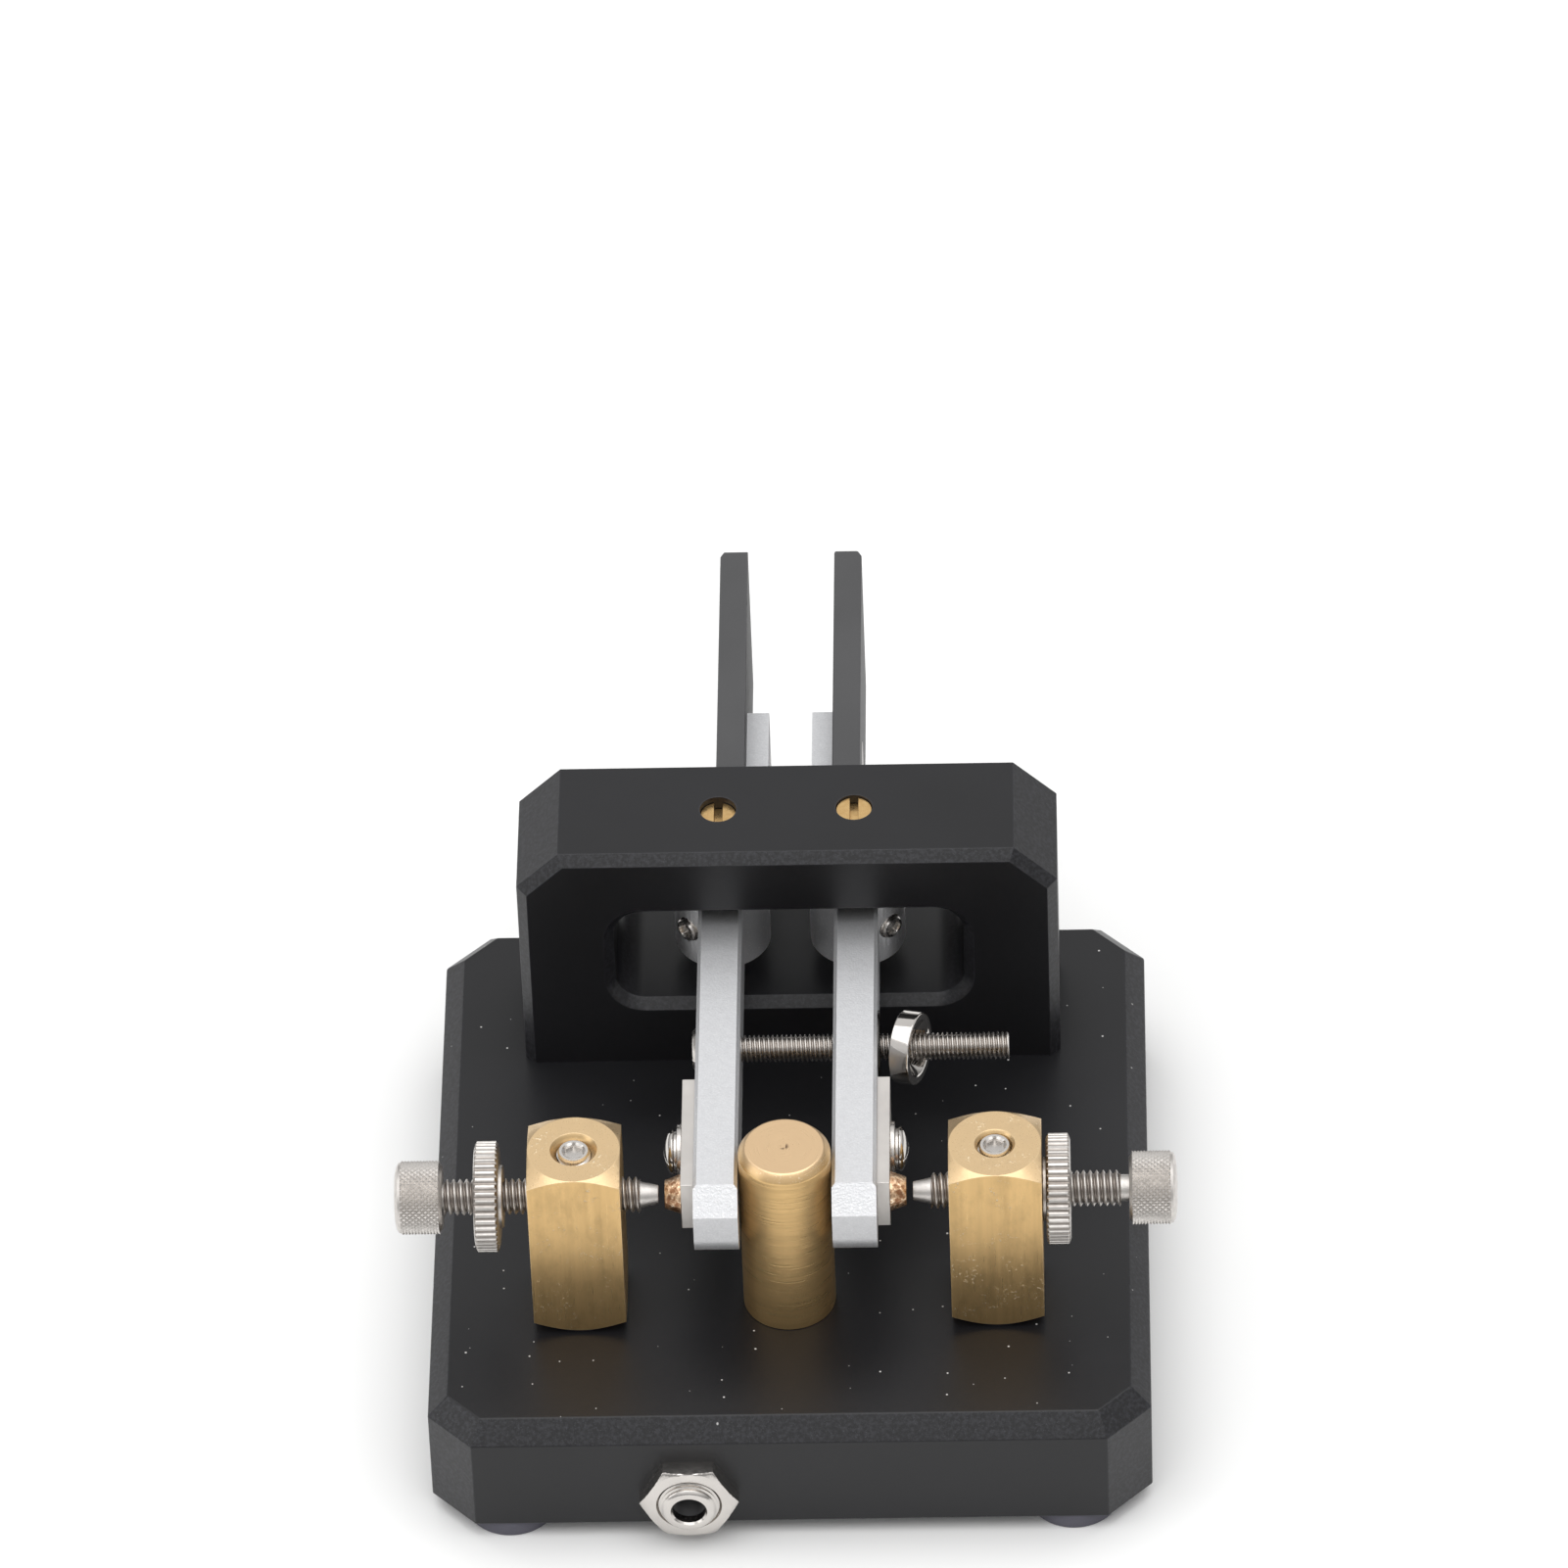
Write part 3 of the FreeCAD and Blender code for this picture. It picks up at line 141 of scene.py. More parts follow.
class KeyStudio(bpy.types.PropertyGroup):
    """Camera and lights"""
    camera_place: FloatVectorProperty(
        name="Camera place", description="Where the camera stands", size=3, subtype="TRANSLATION",
        default=(0.037181, -0.9981755, 0.9819054))
    camera_yaw: angle("Yaw", 0.0364, "Camera turned left of +Y")
    camera_pitch: angle("Pitch", 0.7393, "Camera tilted down")
    camera_roll: angle("Roll", -0.0397, "Camera turned about its view")
    lens: amount("Lens", 291.19, "Focal length in millimetres")
    sky: amount("Room light", 0.86, "Strength of the light from above")
    horizon: amount("Low room light", 0.28, "Strength of the light from the sides")
    top_light: amount("Top light", 6.5, "Power of the overhead softbox in watts")
    side_light: amount("Side light", 0.9, "Power of the left softbox in watts")


class KeySettings(bpy.types.PropertyGroup):
    """All settings of the morse key"""
    sizes: PointerProperty(type=KeySizes)
    colours: PointerProperty(type=KeyColours)
    studio: PointerProperty(type=KeyStudio)


def settings():
    return bpy.context.scene.morse_key


# ---- node graphs ----

class Graph:
    """A node tree with short ways to add nodes and join them."""

    def __init__(self, tree):
        self.tree = tree

    def add(self, kind, inputs=None, **choices):
        node = self.tree.nodes.new("ShaderNode" + kind)
        for name, choice in choices.items():
            setattr(node, name, choice)
        for name, given in (inputs or {}).items():
            self.put(node.inputs[name], given)
        return node

    def put(self, socket, given):
        """Joins given to a socket, or sets it there; a colour comes without its alpha."""
        if isinstance(given, bpy.types.NodeSocket):
            self.tree.links.new(given, socket)
        elif socket.type == "RGBA":
            socket.default_value = (*given, 1.0)
        else:
            socket.default_value = given

    def maths(self, operation, first, second=0.0):
        return self.add("Math", {0: first, 1: second}, operation=operation).outputs[0]

    def vector(self, operation, *given):
        return self.add("VectorMath", dict(enumerate(given)), operation=operation).outputs[0]

    def across(self, vector, axes):
        """The length of a vector, counted only along the axes that are 1."""
        flat = self.vector("MULTIPLY", vector, axes)
        return self.add("VectorMath", {0: flat}, operation="LENGTH").outputs["Value"]

    def split(self, vector):
        return self.add("SeparateXYZ", {0: vector}).outputs

    def blend(self, share, first, second):
        return self.add("Mix", {0: share, 6: first, 7: second}, data_type="RGBA").outputs[2]

    def over(self, shown, tone, mask, share=None):
        """shown, with tone laid over it by mask, or by mask times share."""
        if share is not None:
            mask = self.maths("MULTIPLY", mask, share)
        return self.blend(mask, shown, tone)

    def between(self, given, low, high, start=0.0, end=1.0):
        """given, rescaled so that low gives start and high gives end, and held there."""
        return self.add("MapRange", {"Value": given, "From Min": low, "From Max": high,
                                     "To Min": start, "To Max": end}).outputs[0]

    def stretched(self, source, scale):
        return self.add("Mapping", {"Vector": source, "Scale": scale}).outputs[0]

    def noise(self, source, scale, detail=2.0, roughness=0.5):
        return self.add("TexNoise", {"Vector": source, "Scale": scale, "Detail": detail,
                                     "Roughness": roughness}).outputs["Fac"]

    def place(self):
        return self.add("TexCoord").outputs["Object"]

    def normal(self):
        return self.add("TexCoord").outputs["Normal"]


def effect(name, inputs, outputs, fill):
    """A shader node group, made once; fill turns its inputs into a socket for each output."""
    made = bpy.data.node_groups.get(name)
    if made:
        return made
    made = bpy.data.node_groups.new(name, "ShaderNodeTree")
    for label, default in inputs.items():
        kind = "NodeSocketVector" if isinstance(default, tuple) else "NodeSocketFloat"
        made.interface.new_socket(label, in_out="INPUT", socket_type=kind).default_value = default
    for label in outputs:
        made.interface.new_socket(label, in_out="OUTPUT", socket_type="NodeSocketFloat")
    graph = Graph(made)
    given = made.nodes.new("NodeGroupInput").outputs
    result = made.nodes.new("NodeGroupOutput").inputs
    for label, found in zip(outputs, fill(graph, given)):
        graph.put(result[label], found)
    return made


def placed(graph, tree, **inputs):
    """The outputs of an effect that is placed in graph with its own values."""
    node = graph.tree.nodes.new("ShaderNodeGroup")
    node.node_tree = tree
    for name, given in inputs.items():
        graph.put(node.inputs[name], given)
    return node.outputs


def edge_wear():
    """Mask of the edges, where handling has rubbed the finish thin."""
    def fill(graph, given):
        rounded = graph.add("Bevel", {"Radius": given["Width"]}, samples=4).outputs[0]
        flat = graph.add("NewGeometry").outputs["Normal"]
        match = graph.add("VectorMath", {0: rounded, 1: flat}, operation="DOT_PRODUCT").outputs["Value"]
        broken = graph.between(graph.noise(graph.place(), 900.0, 3.0), 0.35, 0.6, 0.35, 1.0)
        return [graph.maths("MULTIPLY", graph.between(match, 0.995, 0.90), broken)]
    return effect("Edge wear", {"Width": 0.2 * MM}, ["Mask"], fill)


def dust_specks():
    """Mask of a few tiny specks that lie on the upward faces."""
    def fill(graph, given):
        flat = graph.stretched(graph.place(), (1.0, 1.0, 0.0))
        cells = graph.add("TexVoronoi", {"Vector": flat, "Scale": given["Density"]}, voronoi_dimensions="2D")
        chosen = graph.add("SeparateColor", {0: cells.outputs["Color"]}).outputs
        reach = graph.maths("MULTIPLY", given["Reach"], graph.between(chosen[1], 0.0, 1.0, 0.35, 1.25))
        near = graph.between(graph.maths("DIVIDE", cells.outputs["Distance"], reach), 1.0, 0.6)
        kept = graph.maths("GREATER_THAN", chosen[0], 0.74)
        lying = graph.between(graph.split(graph.normal())["Z"], 0.3, 0.9)
        return [graph.maths("MULTIPLY", graph.maths("MULTIPLY", near, kept), lying)]
    return effect("Dust specks", {"Density": 260.0, "Reach": 0.05}, ["Mask"], fill)


def blasted_grain():
    """Height of a bead-blasted surface, and a mask of its specks, where glints are painted into the colour as
    highlights.
    """
    def fill(graph, given):
        fine = graph.noise(graph.place(), given["Scale"], 3.0, 0.6)
        coarse = graph.noise(graph.place(), graph.maths("MULTIPLY", given["Scale"], 0.35), 2.0)
        height = graph.maths("ADD", fine, graph.maths("MULTIPLY", coarse, 0.6))
        return [height, graph.between(fine, 0.60, 0.72)]
    return effect("Blasted grain", {"Scale": 7000.0}, ["Height", "Glints"], fill)


def slanted_faces():
    """Mask of the faces that lie along none of the three axes."""
    def fill(graph, given):
        parts = graph.split(graph.vector("ABSOLUTE", graph.normal()))
        largest = graph.maths("MAXIMUM", graph.maths("MAXIMUM", parts["X"], parts["Y"]), parts["Z"])
        return [graph.between(largest, 0.97, 0.80)]
    return effect("Slanted faces", {}, ["Mask"], fill)


def drawn_lines():
    """Height of fine lines; Stretch holds how close they lie along each axis."""
    def fill(graph, given):
        lines = graph.stretched(graph.place(), given["Stretch"])
        return [graph.noise(lines, 1.0, 3.0, 0.65), graph.noise(lines, 0.22, 2.0, 0.5)]
    return effect("Drawn lines", {"Stretch": (5000.0, 5000.0, 120.0)}, ["Fine", "Broad"], fill)


def turning_rings():
    """Height of rings round an upright axis that stands at Centre."""
    def fill(graph, given):
        away = graph.vector("SUBTRACT", graph.place(), given["Centre"])
        parts = graph.split(away)
        outwards = graph.maths("MULTIPLY", graph.across(away, (1.0, 1.0, 0.0)), given["Scale"])
        around = graph.maths("MULTIPLY", graph.maths("ARCTAN2", parts["Y"], parts["X"]), 0.8)
        line = graph.add("CombineXYZ", {0: outwards, 1: around}).outputs[0]
        return [graph.noise(line, 1.0, 3.0, 0.6)]
    return effect("Turning rings", {"Centre": (0.0, 0.0, 0.0), "Scale": 4000.0}, ["Height"], fill)


def painted_groove_shade():
    """Mask of painted shade in the grooves round an axis along X: from Floor, where they are deepest, out to
    Crest.
    """
    def fill(graph, given):
        away = graph.vector("SUBTRACT", graph.place(), given["Centre"])
        share = graph.maths("DIVIDE",
                            graph.maths("SUBTRACT", given["Crest"], graph.across(away, (0.0, 1.0, 1.0))),
                            graph.maths("SUBTRACT", given["Crest"], given["Floor"]))
        inside = graph.maths("LESS_THAN", share, 1.15)
        not_end = graph.between(graph.maths("ABSOLUTE", graph.split(graph.normal())["X"]), 0.96, 0.85)
        film_and_shade = graph.maths("MULTIPLY", graph.between(share, 0.3, 0.95), inside)
        return [graph.maths("MULTIPLY", film_and_shade, not_end)]
    return effect("Painted groove shade", {"Centre": (0.0, 0.0, 0.0), "Floor": 1.5 * MM, "Crest": 2.0 * MM},
                  ["Mask"], fill)


def material(name, fill, **surface):
    """A Principled material: fill gives its colour, roughness and bump, and surface its plain values."""
    # the frame brings in plain materials of its own, and the prefix keeps clear of their names
    name = "key_" + name
    made = bpy.data.materials.get(name)
    if made:
        return made
    made = bpy.data.materials.new(name)
    made.use_nodes = True
    shader = made.node_tree.nodes["Principled BSDF"].inputs
    for socket, given in surface.items():
        shader[socket].default_value = given
    graph = Graph(made.node_tree)
    shown, rough, *bump = fill(graph)
    graph.put(shader["Base Color"], shown)
    graph.put(shader["Roughness"], rough)
    if bump:
        height, strength, deep = bump
        node = graph.add("Bump", {"Height": height, "Strength": strength, "Distance": deep * MM})
        graph.put(shader["Normal"], node.outputs[0])
    return made


def grain_at(graph, scale):
    return placed(graph, blasted_grain(), Scale=scale)


def slant(graph):
    return placed(graph, slanted_faces())["Mask"]


def wear(graph, width):
    """Worn edges, width millimetres wide."""
    return placed(graph, edge_wear(), Width=width * MM)["Mask"]


# ---- materials ----

def black_anodising(dusty):
    def fill(graph):
        black = Vector(settings().colours.black)
        grain = grain_at(graph, 6500.0)
        slanted = slant(graph)
        rough_cut = graph.noise(graph.place(), 2300.0, 2.0)
        cloud = graph.noise(graph.place(), 60.0, 3.0)
        shown = graph.blend(graph.between(cloud, 0.3, 0.7), black * 0.85, black * 1.2)
        shown = graph.over(shown, black * 2.6, graph.between(rough_cut, 0.42, 0.66), slanted)
        # painted glints: the grain's specks are lightened in the colour, most on slanted faces
        shown = graph.over(shown, black * 9.0, grain["Glints"], graph.between(slanted, 0.0, 1.0, 0.08, 0.5))
        shown = graph.over(shown, black * 12.0, wear(graph, 0.22), 0.4)
        if dusty:
            specks = placed(graph, dust_specks(), Density=290.0, Reach=0.034)["Mask"]
            shown = graph.over(shown, (0.62, 0.61, 0.60), specks)
        height = graph.maths("ADD", grain["Height"], graph.maths("MULTIPLY", rough_cut, slanted))
        return shown, graph.between(grain["Height"], 0.4, 1.2, 0.33, 0.43), height, 0.32, 0.02
    return material("black_anodising_dusty" if dusty else "black_anodising", fill, IOR=1.43)


def blasted_aluminium():
    def fill(graph):
        grain = grain_at(graph, 4300.0)
        slanted = slant(graph)
        pitted = graph.between(grain["Height"], 0.55, 1.0, 0.6, 0.0)
        shown = graph.blend(pitted, settings().colours.silver, (0.60, 0.605, 0.62))
        # painted highlight: slanted faces, such as the lever noses, are laid over with a lighter, even silver
        shown = graph.over(shown, (0.72, 0.725, 0.74), slanted, 0.7)
        # painted glints: near-white specks on the grain, strongest on slanted faces
        shown = graph.over(shown, (0.97, 0.97, 0.97), grain["Glints"],
                           graph.between(slanted, 0.0, 1.0, 0.25, 1.0))
        shown = graph.over(shown, (0.9, 0.9, 0.91), wear(graph, 0.25), 0.6)
        sloped = graph.maths("MULTIPLY", grain["Height"], graph.between(slanted, 0.0, 1.0, 1.0, 2.2))
        return shown, graph.between(grain["Glints"], 0.0, 1.0, 0.47, 0.30), sloped, 0.6, 0.035
    return material("blasted_aluminium", fill, Metallic=0.92)


def cut_brass(graph, stretch, centre, scale, darker):
    """Brass drawn or turned along its sides and turned on its top, with what marks its cut."""
    brass = Vector(settings().colours.brass)
    lines = placed(graph, drawn_lines(), Stretch=stretch)
    rings = placed(graph, turning_rings(), Centre=centre, Scale=scale)["Height"]
    upward = graph.split(graph.normal())["Z"]
    top = graph.between(upward, 0.45, 0.8)
    height = graph.add("Mix", {0: top, 2: lines["Fine"], 3: rings}).outputs[0]
    shown = graph.blend(graph.between(lines["Broad"], 0.35, 0.7, 0.0, 0.6), brass, brass * darker)
    return shown, lines["Fine"], upward, top, height


def post_brass(side):
    """Brass drawn up and down on the sides and turned on the top."""
    low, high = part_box(side + "_contact_post")
    centre = (low + high) / 2

    def fill(graph):
        shown, fine, _, top, height = cut_brass(graph, (5200.0, 5200.0, 140.0), centre, 5200.0, 0.8)
        drawn_out = graph.stretched(graph.place(), (420.0, 420.0, 200.0))
        stain = graph.between(graph.noise(drawn_out, 1.0, 5.0, 0.65), 0.48, 0.66)
        patches = graph.between(graph.noise(graph.place(), 330.0, 2.0), 0.52, 0.62)
        # painted sparkles: bright specks in patches, laid into the colour as highlights and also into the
        # bump
        sparkle = graph.maths("MULTIPLY", grain_at(graph, 3300.0)["Glints"], patches)
        shown = graph.over(shown, Vector(settings().colours.brass) * 0.8 * 0.72, stain, 0.42)
        # painted sheen: the upward faces are laid over with a paler brass
        shown = graph.over(shown, (0.735, 0.545, 0.325), top, 0.8)
        shown = graph.over(shown, (1.0, 0.88, 0.66), sparkle, 0.8)
        shown = graph.over(shown, (0.93, 0.74, 0.47), wear(graph, 0.2), 0.6)
        uneven = graph.maths("ADD", height, graph.maths("MULTIPLY", sparkle, 5.0))
        return shown, graph.between(fine, 0.3, 0.7, 0.26, 0.38), uneven, 0.42, 0.016
    return material("post_brass_" + side, fill, Metallic=0.87)


def turned_brass():
    """Brass with the fine rings that a lathe leaves."""
    low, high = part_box("centre_post")
    centre = (low + high) / 2

    def fill(graph):
        shown, _, upward, top, height = cut_brass(graph, (140.0, 140.0, 6500.0), centre, 6500.0, 0.82)
        distance = graph.across(graph.vector("SUBTRACT", graph.place(), centre), (1.0, 1.0, 0.0))
        pip = graph.maths("MULTIPLY", graph.between(distance, 0.6 * MM, 0.25 * MM),
                          graph.between(graph.noise(graph.place(), 2600.0, 3.0), 0.5, 0.58))
        rim = graph.maths("MULTIPLY", slant(graph), graph.between(upward, 0.2, 0.5))
        # painted sheen: the upward face is laid over with a paler brass
        shown = graph.over(shown, (0.76, 0.545, 0.335), top, 0.85)
        shown = graph.over(shown, (0.13, 0.08, 0.05), pip, top)
        # painted glints along the top rim's chamfer
        shown = graph.over(shown, (1.0, 0.86, 0.62), grain_at(graph, 4200.0)["Glints"], rim)
        shown = graph.over(shown, (0.95, 0.76, 0.48), wear(graph, 0.2), 0.5)
        cut = graph.maths("MULTIPLY", height, graph.between(top, 0.0, 1.0, 1.0, 0.35))
        return shown, graph.between(height, 0.3, 0.7, 0.26, 0.38), cut, 0.75, 0.045
    return material("turned_brass", fill, Metallic=0.87)


def screw_brass():
    def fill(graph):
        mottle = graph.noise(graph.place(), 1800.0, 3.0)
        shown = graph.blend(graph.between(mottle, 0.35, 0.7), settings().colours.brass, (0.62, 0.40, 0.17))
        return shown, graph.between(mottle, 0.3, 0.7, 0.22, 0.4), mottle, 0.3, 0.02
    return material("screw_brass", fill, Metallic=1.0)


def contact_metal():
    def fill(graph):
        grain = grain_at(graph, 2400.0)
        gold = settings().colours.gold
        shown = graph.blend(graph.between(grain["Height"], 0.7, 0.95), (0.30, 0.15, 0.08), gold)
        # painted glints: pale highlights laid on the grain's specks
        shown = graph.over(shown, (1.0, 0.90, 0.74), grain["Glints"])
        return shown, graph.between(grain["Glints"], 0.0, 1.0, 0.34, 0.16), grain["Height"], 0.9, 0.10
    return material("contact_metal", fill, Metallic=1.0)


def nickel(name, rough, smudge=0.12, bump=0.15, tint=1.0):
    """Nickel plate; rough sets how far it is from a mirror."""
    def fill(graph):
        plain = Vector(settings().colours.nickel) * tint
        mottle = graph.noise(graph.place(), 1500.0, 4.0, 0.6)
        film_and_shade = graph.noise(graph.place(), 220.0, 3.0)
        shown = graph.blend(graph.between(film_and_shade, 0.35, 0.7, 0.0, 0.8), plain, plain * 0.86)
        return shown, graph.between(mottle, 0.3, 0.75, rough, rough + smudge), mottle, bump, 0.015
    return material(name, fill, Metallic=1.0)


def fixing_steel():
    return nickel("fixing_steel", 0.30, tint=0.8)


def screw_nickel():
    return nickel("screw_nickel", 0.22)


def grooved_nickel(name, node, bands, rough):
    """Nickel plate with painted shade in its grooves; a band is a floor radius, a crest radius and a
    strength.
    """
    low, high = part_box(node)
    centre = (low + high) / 2

    def fill(graph):
        plain = Vector(settings().colours.nickel)
        mottle = graph.noise(graph.place(), 1500.0, 4.0, 0.6)
        dark = 0.0
        for floor, crest, film_and_shade in bands:
            mask = placed(graph, painted_groove_shade(), Centre=centre, Floor=floor, Crest=crest)["Mask"]
            dark = graph.maths("MAXIMUM", graph.maths("MULTIPLY", mask, film_and_shade), dark)
        shown = graph.blend(graph.between(mottle, 0.35, 0.7), plain, plain * 0.85)
        # painted shade: the grooves' floors are darkened towards the groove shade colour
        shown = graph.over(shown, settings().colours.groove_shade, dark)
        return shown, graph.between(mottle, 0.3, 0.75, rough, rough + 0.12), mottle, 0.15, 0.015
    return material(name, fill, Metallic=1.0)


def moulded(name, tone, rough, grain_scale, bump, lift=1.35):
    """Plastic or rubber with a fine moulded texture."""
    def fill(graph):
        plain = Vector(tone)
        fine = graph.noise(graph.place(), grain_scale, 3.0, 0.6)
        cloud = graph.noise(graph.place(), 90.0, 3.0)
        shown = graph.blend(graph.between(cloud, 0.35, 0.65), plain, plain * 1.12)
        shown = graph.over(shown, plain * lift, graph.between(fine, 0.55, 0.75, 0.0, 0.6))
        shown = graph.over(shown, plain * 1.9, wear(graph, 0.25), 0.5)
        return shown, graph.between(fine, 0.3, 0.7, rough, rough + 0.12), fine, bump, 0.02
    return material(name, fill, IOR=1.48)


def floor_paint():
    def fill(graph):
        plain = Vector(settings().colours.floor)
        cloud = graph.noise(graph.place(), 6.0, 2.0)
        return graph.blend(cloud, plain, plain * 0.985), graph.between(cloud, 0.3, 0.7, 0.62, 0.7)
    return material("floor_paint", fill)


# ---- mesh building ----

def chain(bm, profile):
    """The points and edges of an outline of (along, radius) points."""
    ring = [bm.verts.new((along, 0.0, radius)) for along, radius in profile]
    return ring, [bm.edges.new(pair) for pair in zip(ring, ring[1:])]


def spun(bm, geom, **how):
    """Spins geom round X."""
    bmesh.ops.spin(bm, geom=geom, axis=(1, 0, 0), cent=(0, 0, 0), **how)


def merged(bm, near=MERGE):
    bmesh.ops.remove_doubles(bm, verts=bm.verts, dist=near)
    bmesh.ops.recalc_face_normals(bm, faces=bm.faces)
    return bm


def lathe(profile, steps=72, closed=False):
    """A solid turned about X from (along, radius) points that end on the axis, or close on themselves."""
    bm = bmesh.new()
    ring, edges = chain(bm, profile)
    if closed:
        edges.append(bm.edges.new((ring[-1], ring[0])))
    spun(bm, ring + edges, angle=math.tau, steps=steps, use_merge=True)
    return merged(bm)


def eased(points, size):
    """The same outline with each corner broken by a small three-point curve."""
    count = len(points)
    kept = []
    for index, point in enumerate(points):
        here = Vector(point)
        if index in (0, count - 1):
            kept.append(tuple(here))
            continue
        before = Vector(points[index - 1]) - here
        after = Vector(points[index + 1]) - here
        if before.angle(after) > math.radians(172):
            kept.append(tuple(here))
            continue
        first = here + before.normalized() * min(size, before.length * 0.4)
        last = here + after.normalized() * min(size, after.length * 0.4)
        middle = (first + last) / 4 + here / 2
        kept.extend([tuple(first), tuple(middle), tuple(last)])
    return kept


def limited(bm, limit, inside=None):
    """Pulls in each point that lies further from the X axis than limit allows at its angle."""
    for vert in bm.verts:
        radius = math.hypot(vert.co.y, vert.co.z)
        if radius < MERGE or (inside and radius > inside):
            continue
        allowed = limit(math.atan2(vert.co.z, vert.co.y))
        if radius > allowed:
            vert.co.y *= allowed / radius
            vert.co.z *= allowed / radius


def slotted(bm, half, floor):
    """Cuts a straight slot across the outer end of a turned head, down to floor."""
    for edge in (-half, half):
        bmesh.ops.bisect_plane(bm, geom=bm.verts[:] + bm.edges[:] + bm.faces[:], plane_co=(0, 0, edge),
                               plane_no=(0, 0, 1), dist=MERGE)
    band = [face for face in bm.faces if abs(face.calc_center_median().z) < half and face.normal.x > 0.1
            and face.calc_center_median().x > floor]
    sunk = bmesh.ops.extrude_face_region(bm, geom=band)["geom"]
    for item in sunk:
        if isinstance(item, bmesh.types.BMVert):
            item.co.x = min(item.co.x, floor)
    bmesh.ops.recalc_face_normals(bm, faces=bm.faces)
    return bm


def six_sided(across):
    """How far a hexagon reaches at an angle."""
    def reach(angle):
        sixth = math.pi / 3
        return across / 2 / math.cos((angle % sixth) - sixth / 2)
    return reach


def add_shell(bm, other):
    """Adds another closed shell to bm."""
    mesh = bpy.data.meshes.new("shell")
    other.to_mesh(mesh)
    other.free()
    bm.from_mesh(mesh)
    bpy.data.meshes.remove(mesh)
    return bm


def moved(bm, matrix):
    bmesh.ops.transform(bm, matrix=matrix, verts=bm.verts)
    return bm


def clipped(bm, low, high):
    """Keeps what lies between two planes across X, and closes the ends."""
    for place, way in ((low, -1), (high, 1)):
        everything = bm.verts[:] + bm.edges[:] + bm.faces[:]
        bmesh.ops.bisect_plane(bm, geom=everything, plane_co=(place, 0, 0), plane_no=(way, 0, 0),
                               clear_outer=True, dist=MERGE)
    ends = [edge for edge in bm.edges if edge.is_boundary]
    bmesh.ops.holes_fill(bm, edges=ends)
    bmesh.ops.recalc_face_normals(bm, faces=bm.faces)
    return bm


def thread_root(wide, pitch):
    """Radius of the bottom of a thread's groove."""
    return wide / 2 - 0.58 * pitch


def thread(wide, pitch, low, high, steps=40):
    """A right-handed thread along X from low to high, closed at both ends."""
    crest = wide / 2
    root = thread_root(wide, pitch)
    shape = ((0.0, root), (0.14, root), (0.52, crest), (0.64, crest), (1.0, root))
    bm = bmesh.new()
    ring, edges = chain(bm, [(low + (share - 1.0) * pitch, radius) for share, radius in shape])
    turns = math.ceil((high - low) / pitch) + 2
    spun(bm, ring + edges, dvec=(pitch / steps, 0, 0), angle=math.tau * turns, steps=steps * turns)
    bmesh.ops.remove_doubles(bm, verts=bm.verts, dist=4 * MERGE)
    return clipped(bm, low, high)


def diamond_knurl(wide, pitch, deep, low, high):
    """A band of diamonds between two crossed sets of grooves, closed at both ends."""
    floor = wide / 2 - deep
    around = round(math.pi * wide / pitch)
    half = pitch / 2
    bm = bmesh.new()
    first = bm.verts.new((low - around * half, 0.0, floor))
    spun(bm, [first], dvec=(half, 0, 0), angle=-math.pi, steps=around)
    rows = around + math.ceil((high - low) / half) + 1
    spun(bm, bm.verts[:] + bm.edges[:], dvec=(half, 0, 0), angle=math.pi * rows / around, steps=rows)
    merged(bm, 4 * MERGE)
    bm.faces.ensure_lookup_table()
    sample = bm.faces[0]
    middle = sample.calc_center_median()
    outward = 1 if sample.normal.dot(Vector((0.0, middle.y, middle.z))) > 0 else -1
    bmesh.ops.poke(bm, faces=bm.faces, offset=outward * deep)
    return clipped(bm, low, high)


def packed_copy(node):
    """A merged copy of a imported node's mesh, with its flat triangles joined."""
    bm = bmesh.new()
    bm.from_mesh(frame["nodes"][node].data)
    bmesh.ops.remove_doubles(bm, verts=bm.verts, dist=MERGE)
    bmesh.ops.dissolve_limit(bm, angle_limit=math.radians(0.4), verts=bm.verts, edges=bm.edges)
    return bm


def broken_edges(bm, size, sharper_than=28):
    """Breaks each corner that is sharper than so many degrees."""
    sharp = [edge for edge in bm.edges
             if len(edge.link_faces) == 2 and edge.calc_face_angle(0.0) > math.radians(sharper_than)]
    bmesh.ops.bevel(bm, geom=sharp, offset=size, offset_type="OFFSET", affect="EDGES", segments=2,
                    profile=0.5, clamp_overlap=True, material=-1)
    return bm


def linked(name, data):
    """A new object in the scene."""
    made = bpy.data.objects.new(name, data)
    bpy.context.scene.collection.objects.link(made)
    return made


def piece(name, bm, node, finish, smooth_below=35, weighted=False):
    """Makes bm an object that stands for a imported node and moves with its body."""
    mesh = bpy.data.meshes.new(name)
    bm.to_mesh(mesh)
    bm.free()
    mesh.shade_smooth()
    mesh.set_sharp_from_angle(angle=math.radians(smooth_below))
    made = linked(name, mesh)
    mesh.materials.append(finish)
    if weighted:
        steady = made.modifiers.new("steady_normals", "WEIGHTED_NORMAL")
        steady.keep_sharp = True
    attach(made, BODY_OF[node])
    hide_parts(node)
    return made


def dressed(node, finish, size=None, sharper_than=28):
    """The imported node's own shape with its edges broken."""
    bm = packed_copy(node)
    broken_edges(bm, size or settings().sizes.edge_break, sharper_than)
    return piece(node + "_dressed", bm, node, finish, weighted=True)


def along_x(node, sign):
    """Where a piece that lies along X starts, with its own X turned outwards for sign."""
    low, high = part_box(node)
    middle = (low + high) / 2
    start = low.x if sign > 0 else high.x
    turn = Matrix.Identity(4) if sign > 0 else HALF_TURN
    return Matrix.Translation((start, middle.y, middle.z)) @ turn, high.x - low.x, (high.z - low.z) / 2


